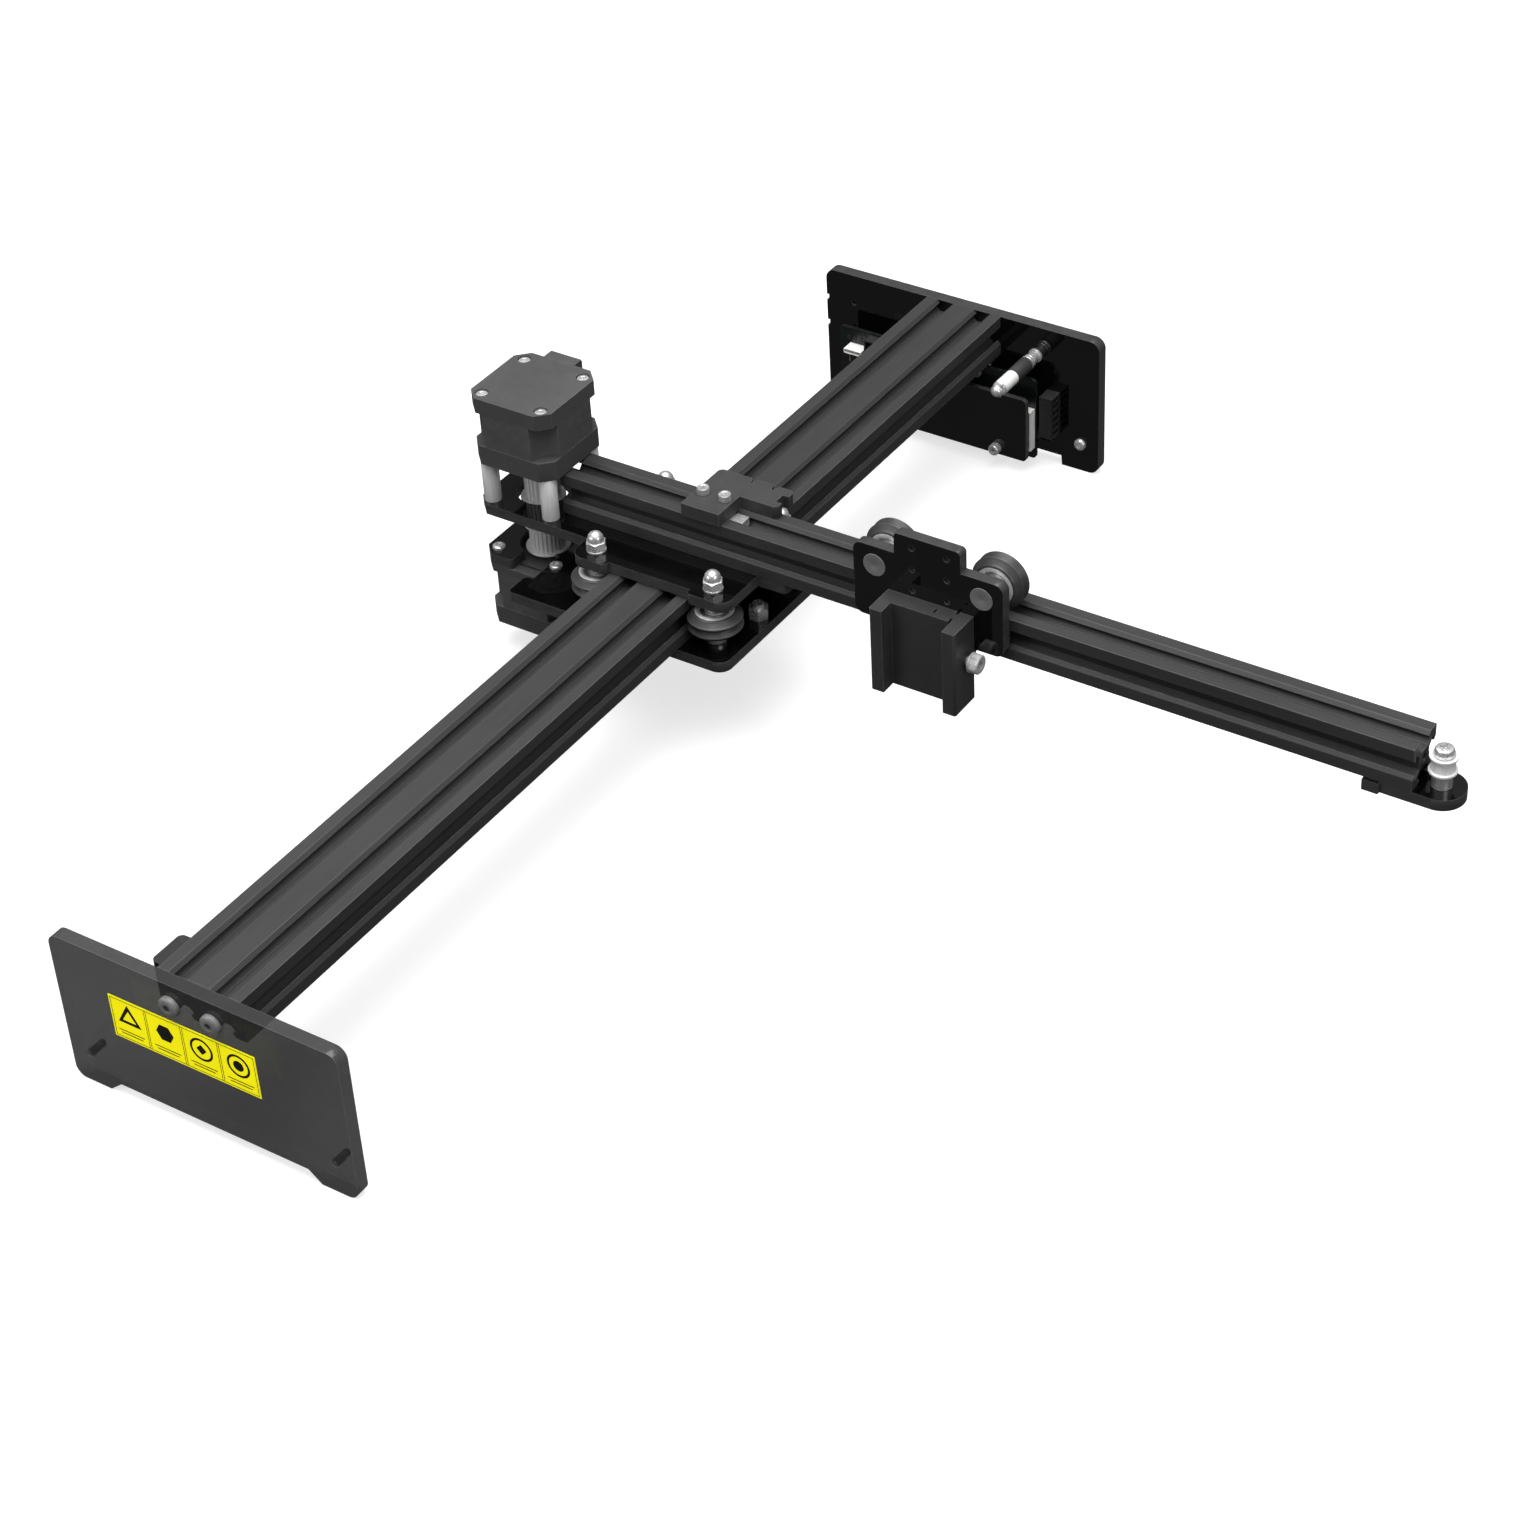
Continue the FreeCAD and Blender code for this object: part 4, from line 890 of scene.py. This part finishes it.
def make_clamp_screw():
    low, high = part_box("clamp_screw")
    spot = middle("clamp_screw")
    tip = high.x
    work = bmesh.new()
    seat = tip - 4.0 * MM
    spun(work, (seat, spot.y, spot.z), RIGHT,
         socket_head(4.2 * MM, 4.0 * MM, 3.0 * MM, knurl=-0.16 * MM), HEAD_SIDES)
    spun(work, (seat - 0.65 * MM, spot.y, spot.z), RIGHT, [
        (0, 0), (4.2 * MM, 0), (4.4 * MM, 0.2 * MM), (4.4 * MM, 0.5 * MM),
        (4.2 * MM, 0.7 * MM), (0, 0.7 * MM)], HEAD_SIDES)
    spun(work, (seat, spot.y, spot.z), LEFT, shank(2.1 * MM, seat - low.x, 0.5 * MM), 40)
    finish_piece("knurled_clamp_screw", work, "clamp_screw", "zinc_steel", CLAMP_STEEL, ["clamp_screw"])


def make_idler():
    spot = middle("tip_idler")
    low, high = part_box("tip_idler")
    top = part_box("arm")[0].z
    work = bmesh.new()
    at = (spot.x, spot.y, top)
    rise = low.z - top
    spun(work, at, UP, [
        (0, 0), (4.0 * MM, 0), (4.15 * MM, 0.15 * MM), (4.15 * MM, rise - 0.3 * MM),
        (4.0 * MM, rise - 0.15 * MM), (2.5 * MM, rise - 0.15 * MM), (2.5 * MM, 15 * MM), (0, 15 * MM)], 64)
    spun(work, (spot.x, spot.y, top + 14.9 * MM), UP,
         cross_head(3.85 * MM, 2.3 * MM, (4.3 * MM, 0.9 * MM)), 96)
    finish_piece("idler_screw", work, "long_carriage", "zinc_steel", STEEL, ["idler_axle"])
    work = bmesh.new()
    tall = (high.z - low.z) / MM
    spun(work, (spot.x, spot.y, low.z), UP, closed(rounded_profile(scaled([
        (2.6, 0), (3.6, 0), (3.7, 0.25), (4.4, 0.25), (4.5, 0), (5.75, 0), (5.75, 0.9), (4.9, 1.15),
        (4.75, tall / 2), (4.9, tall - 1.15), (5.75, tall - 0.9), (5.75, tall), (4.5, tall),
        (4.4, tall - 0.25), (3.7, tall - 0.25), (3.6, tall), (2.6, tall)]), 0.12 * MM, 2)), 72)
    finish_piece("idler_roller", work, "tip_idler", "pulley_metal", None, ["tip_idler"])


# ---------------------------------------------------------------- label, board and connectors

INK = moulded("LabelInk", 0.004, rough=(0.4, 0.5), edge=1.2)
CHIP = moulded("ChipEpoxy", 0.012, rough=(0.35, 0.5))
CAN = steel("CapacitorCan", 0.55, (0.22, 0.34))


def flat_ring(work, outer, inner, place):
    """A closed band between two outlines of the same length, from height 0 to height 1."""
    rings = [[place(x, y, level) for x, y in outline]
             for outline, level in ((outer, 0), (outer, 1), (inner, 1), (inner, 0))]
    skin(work, rings, closed=True)


def round_outline(x, y, radius, count=48):
    return [(x + radius * math.cos(2 * math.pi * step / count),
             y + radius * math.sin(2 * math.pi * step / count)) for step in range(count)]


def rectangle(left, low, right, high):
    return [(left, low), (right, low), (right, high), (left, high)]


def make_label_print():
    """A border, four cells, and a plain mark with two bars in each cell."""
    low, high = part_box("front_label")
    width, tall = high.x - low.x, high.z - low.z
    ink = 0.05 * MM

    def place(x, y, level):
        return Vector((low.x + x, low.y - ink * level, low.z + y))

    work = bmesh.new()
    edge, line = 0.7 * MM, 0.28 * MM
    flat_ring(work, rectangle(edge, edge, width - edge, tall - edge),
              rectangle(edge + line, edge + line, width - edge - line, tall - edge - line), place)
    cell = width / 4
    for number in range(1, 4):
        for side in (-0.45 * MM, 0.45 * MM):
            across = number * cell + side
            extruded(work, rectangle(across - 0.13 * MM, edge + line * 1.5,
                                     across + 0.13 * MM, tall - edge - line * 1.5), place)
    for number in range(4):
        across = (number + 0.5) * cell
        level = tall * 0.60
        size = 6.0 * MM
        if number == 0:
            outer = [(across, level + size), (across - size * 0.95, level - size * 0.62),
                     (across + size * 0.95, level - size * 0.62)]
            inner = [(across, level + size * 0.50), (across - size * 0.56, level - size * 0.38),
                     (across + size * 0.56, level - size * 0.38)]
            flat_ring(work, outer, inner, place)
        elif number == 1:
            extruded(work, round_outline(across, level, size * 0.72, 6), place)
        else:
            flat_ring(work, round_outline(across, level, size * 0.92),
                      round_outline(across, level, size * 0.74), place)
            mark = round_outline(across, level, size * 0.42, 4 if number == 2 else 24)
            extruded(work, mark, place)
        for row, share in ((4.4, 0.36), (3.0, 0.30)):
            bar = 0.22 * MM
            extruded(work, rectangle(across - cell * share, row * MM - bar,
                                     across + cell * share, row * MM + bar), place)
    finish_piece("label_print", work, "frame", "moulded_black", INK, angle=50)


def socket_shell(work, low, high, wall, depth, pins, facing):
    """An open plug housing: a floor, four walls and its pins."""
    lx, ly, lz = low
    hx, hy, hz = high
    mouth = ly if facing < 0 else hy
    floor_y = mouth - facing * depth
    base = hy if facing < 0 else ly

    def slab(x0, x1, y0, y1, z0, z1):
        block(work, (x0, min(y0, y1), z0), (x1, max(y0, y1), z1))

    slab(lx, hx, base, floor_y, lz, hz)
    slab(lx, hx, floor_y, mouth, lz, lz + wall)
    slab(lx, hx, floor_y, mouth, hz - wall, hz)
    slab(lx, lx + wall, floor_y, mouth, lz + wall, hz - wall)
    slab(hx - wall, hx, floor_y, mouth, lz + wall, hz - wall)
    long_x = (hx - lx) > (hz - lz)
    pin = 0.3 * MM
    for number in range(pins):
        share = (number + 0.5) / pins
        x = lx + wall + share * (hx - lx - 2 * wall) if long_x else (lx + hx) / 2
        z = (lz + hz) / 2 if long_x else lz + wall + share * (hz - lz - 2 * wall)
        slab(x - pin, x + pin, floor_y, mouth - facing * 0.8 * MM, z - pin, z + pin)


def make_board_parts():
    """Chips, capacitors and rows of small parts between the board and its cover."""
    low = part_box("control_board")[0]
    face = low.y
    chips = bmesh.new()
    for x, z, wide, tall, deep in ((10, 12, 9, 9, 1.4), (9, 28, 6, 8, 1.2), (36, 14, 12, 12, 1.5),
                                   (56, 20, 7, 10, 1.4), (74, 14, 9, 7, 1.3)):
        at = (low.x + x * MM, face, low.z + z * MM)
        spread, rise = wide / 2 * MM, tall / 2 * MM
        outline = [(-spread, -rise), (spread, -rise), (spread, rise), (-spread, rise)]
        rings = []
        for share, level in ((1.0, 0), (1.0, 0.45), (0.93, 1.0)):
            rings.append([(at[0] + across * share, at[1] - deep * level * MM, at[2] + up * share)
                          for across, up in outline])
        skin(chips, rings)
    for step in range(7):
        x = low.x + (4.5 + 3.4 * step) * MM
        for across, rise in ((0, 36.5 * MM), (24 * MM, 38.0 * MM)):
            left, foot = x + across, low.z + rise
            block(chips, (left, face - 0.5 * MM, foot), (left + 1.2 * MM, face, foot + 2.2 * MM))
    finish_piece("board_chips", chips, "frame", "moulded_black", CHIP, bevel=0.08 * MM)
    legs = bmesh.new()
    for x, z, wide, tall in ((10, 12, 9, 9), (9, 28, 6, 8)):
        for side in (-1, 1):
            for step in range(int(tall / 1.3)):
                z0 = low.z + (z - tall / 2 + 0.6 + 1.3 * step) * MM
                x0 = low.x + (x + side * (wide / 2 + 0.45)) * MM
                block(legs, (x0 - 0.45 * MM, face - 0.35 * MM, z0),
                      (x0 + 0.45 * MM, face - 0.02 * MM, z0 + 0.5 * MM))
    for x, z in ((22.5, 8.5), (22.5, 15.5)):
        spun(legs, (low.x + x * MM, face, low.z + z * MM), FORWARD, [
            (0, 0), (2.4 * MM, 0), (2.5 * MM, 0.3 * MM), (2.35 * MM, 0.7 * MM), (2.5 * MM, 1.1 * MM),
            (2.5 * MM, 3.9 * MM), (2.3 * MM, 4.2 * MM), (2.1 * MM, 4.1 * MM), (0, 4.1 * MM)], 40)
    finish_piece("board_metal", legs, "frame", "zinc_steel", CAN)


def make_board_connectors():
    sockets = bmesh.new()
    low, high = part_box("board_sockets")
    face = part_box("control_board")[0].y
    cover_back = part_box("board_cover")[1].y
    right = (high.x - 4.8 * MM, cover_back + 0.2 * MM, low.z)
    socket_shell(sockets, right, (high.x, face, low.z + 21.5 * MM), 0.7 * MM, 3.2 * MM, 6, -1)
    left_low = (low.x, cover_back - 2 * MM, high.z - 2.5 * MM)
    socket_shell(sockets, left_low, (low.x + 9.5 * MM, face, high.z), 0.5 * MM, 3.6 * MM, 4, -1)
    finish_piece("board_plug_sockets", sockets, "frame", "nylon_white", None,
                 ["board_sockets"], bevel=0.12 * MM)
    blocks = bmesh.new()
    low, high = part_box("board_headers")
    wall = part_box("rear_plate")[0].y
    left = high.x - 7 * MM
    top = low.z + 22 * MM
    lip = high.x - 1.6 * MM
    block(blocks, (left, wall - 8 * MM, low.z), (lip, wall, top))
    pitch = 22.0 / 6
    for step in range(6):
        z = low.z + step * pitch * MM
        block(blocks, (lip, wall - 8 * MM, z), (high.x, wall, z + 1.1 * MM))
    block(blocks, (lip, wall - 8 * MM, top - 1.1 * MM), (high.x, wall, top))
    block(blocks, (lip, wall - 8 * MM, low.z), (high.x, wall - 6.9 * MM, top))
    block(blocks, (lip, wall - 1.4 * MM, low.z), (high.x, wall, top))
    finish_piece("screw_terminal", blocks, "frame", "moulded_black", None,
                 ["board_headers"], bevel=0.15 * MM)
    blocks = bmesh.new()
    board_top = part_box("control_board")[1].z
    right = low.x + 11 * MM
    socket_shell(blocks, (low.x, cover_back - 3 * MM, board_top - 22 * MM),
                 (right, face, board_top - 9 * MM), 0.9 * MM, 5.0 * MM, 5, -1)
    socket_shell(blocks, (low.x + 1 * MM, cover_back - 1 * MM, board_top - 8 * MM),
                 (right, face, board_top - 1 * MM), 0.8 * MM, 3.6 * MM, 4, -1)
    finish_piece("board_plug_headers", blocks, "frame", "moulded_black", None, bevel=0.12 * MM)


def make_board_screws():
    """Cap screws hold the cover, low round heads hold the board."""
    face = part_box("control_board")[0].y
    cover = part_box("board_cover")[0].y
    rail = middle("rail")
    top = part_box("rail")[1].z
    work = bmesh.new()
    for x, z in ((-60, -62), (-20, -27), (12, -27)):
        spun(work, (rail.x + x * MM, face, top + z * MM), FORWARD,
             socket_head(2.8 * MM, 1.8 * MM, 2.0 * MM, dome=0.9 * MM), HEAD_SIDES)
    for x in (-32, 26.5):
        at = (rail.x + x * MM, cover, top - 61 * MM)
        spun(work, at, FORWARD, socket_head(2.75 * MM, 3.6 * MM, 2.0 * MM, knurl=-0.1 * MM), HEAD_SIDES)
        spun(work, at, BACKWARD, shank(1.4 * MM, 6 * MM), 32)
    finish_piece("board_screw_heads", work, "frame", "zinc_steel", STEEL, ["board_screws"])


def make_motor_connector():
    low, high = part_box("arm_motor_connector")
    high = high - Vector((0, 0, 0.25 * MM))
    work = bmesh.new()
    socket_shell(work, low, high, 0.8 * MM, 4.6 * MM, 6, 1)
    finish_piece("motor_plug_socket", work, "long_carriage", "moulded_black", SLOT_MATERIALS["motor_cap"],
                 ["arm_motor_connector"], bevel=0.2 * MM)


def make_stop():
    """The end stop: rod, washer, hexagon nut and domed cap."""
    spot = middle("stop_spacer")
    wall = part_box("rear_plate")[0].y
    reach = (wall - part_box("stop_post")[0].y) / MM
    work = bmesh.new()
    at = (spot.x, wall, spot.z)
    spun(work, at, FORWARD, scaled([
        (0, 0), (3.5, 0), (3.5, 1.0), (3.3, 1.2), (2.6, 1.2), (2.6, 5.4), (3.2, 5.4), (3.3, 5.6), (3.3, 6.4),
        (3.2, 6.6), (2.6, 6.6), (2.6, 7.2), (3.4, 7.2), (3.5, 7.4), (3.5, 8.3), (3.4, 8.5), (1.95, 8.5),
        (1.95, reach - 3), (0, reach - 3)]), 64)
    disc, nut, hex_height, dome = 33.3, 34.2, 2.2, 2.85
    spun(work, (spot.x, wall - disc * MM, spot.z), FORWARD, scaled([
        (0, 0), (3.4, 0), (3.5, 0.15), (3.5, 0.75), (3.4, 0.9), (0, 0.9)]), 64)
    rise = reach - nut - hex_height - dome
    spun(work, (spot.x, wall - nut * MM, spot.z), FORWARD,
         acorn_profile(6.0 * MM, hex_height * MM, dome * MM, rise * MM), HEAD_SIDES)
    finish_piece("stop_rod", work, "frame", "zinc_steel", STEEL, ["stop_post"])


make_acorn_nuts()
make_axle_heads()
make_motor_screws()
make_rail_end_screws()
for wheel in RAIL_WHEELS:
    make_roller(wheel, UP)
for wheel in LASER_WHEELS:
    make_roller(wheel, BACKWARD)
make_toothed_pulleys()
for stack in ("arm_motor_stack", "rail_motor_stack"):
    make_lamination(stack)
make_corner_bolts()
make_bracket_screws()
make_laser_axles()
make_plate_inserts()
make_clamp_screw()
make_idler()
make_label_print()
make_board_parts()
make_board_connectors()
make_board_screws()
make_motor_connector()
make_stop()

# ---------------------------------------------------------------- stage

FLOOR_HALF = 6.0
FLOOR_GLOW = 0.68
mesh = bpy.data.meshes.new("Floor")
mesh.from_pydata([(-FLOOR_HALF, -FLOOR_HALF, 0), (FLOOR_HALF, -FLOOR_HALF, 0),
                  (FLOOR_HALF, FLOOR_HALF, 0), (-FLOOR_HALF, FLOOR_HALF, 0)], [], [(0, 1, 2, 3)])
mesh.materials.append(floor_material("FloorPaper", FLOOR_GLOW))
floor = bpy.data.objects.new("Floor", mesh)
bpy.context.scene.collection.objects.link(floor)
floor.location.z = cad_box[0].z - 0.0002
floor.visible_glossy = False
floor.visible_diffuse = False

# A pale wall around the floor, so that low views end in paper.
WALL_RADIUS = 5.9
WALL_HEIGHT = 4.0
WALL_SIDES = 96
WALL_GLOW = 0.85
ring = [2 * math.pi * index / WALL_SIDES for index in range(WALL_SIDES)]
corners = [(WALL_RADIUS * math.cos(angle), WALL_RADIUS * math.sin(angle), height)
           for height in (0, WALL_HEIGHT) for angle in ring]
sides = [(index, index + WALL_SIDES, (index + 1) % WALL_SIDES + WALL_SIDES, (index + 1) % WALL_SIDES)
         for index in range(WALL_SIDES)]
wall_mesh = bpy.data.meshes.new("Wall")
wall_mesh.from_pydata(corners, [], sides)
wall_mesh.materials.append(floor_material("WallPaper", WALL_GLOW))
wall = bpy.data.objects.new("Wall", wall_mesh)
bpy.context.scene.collection.objects.link(wall)
wall.location.z = floor.location.z
wall.visible_glossy = False
wall.visible_diffuse = False
wall.visible_shadow = False

make_camera()
make_world(dim=0.10, bright=1.0)
LIT_SPOT = (-0.05, 0.0, 0.05)
softbox("KeyAbove", at=(-0.1, -0.1, 1.9), aim=LIT_SPOT, size=(1.8, 1.8), power=50)
softbox("FillRight", at=(1.7, -0.5, 0.9), aim=LIT_SPOT, size=(1.0, 0.8), power=8)
softbox("FillFrontLeft", at=(-1.3, -1.8, 0.7), aim=LIT_SPOT, size=(1.2, 0.6), power=10)
bpy.context.scene.view_settings.view_transform = "Standard"
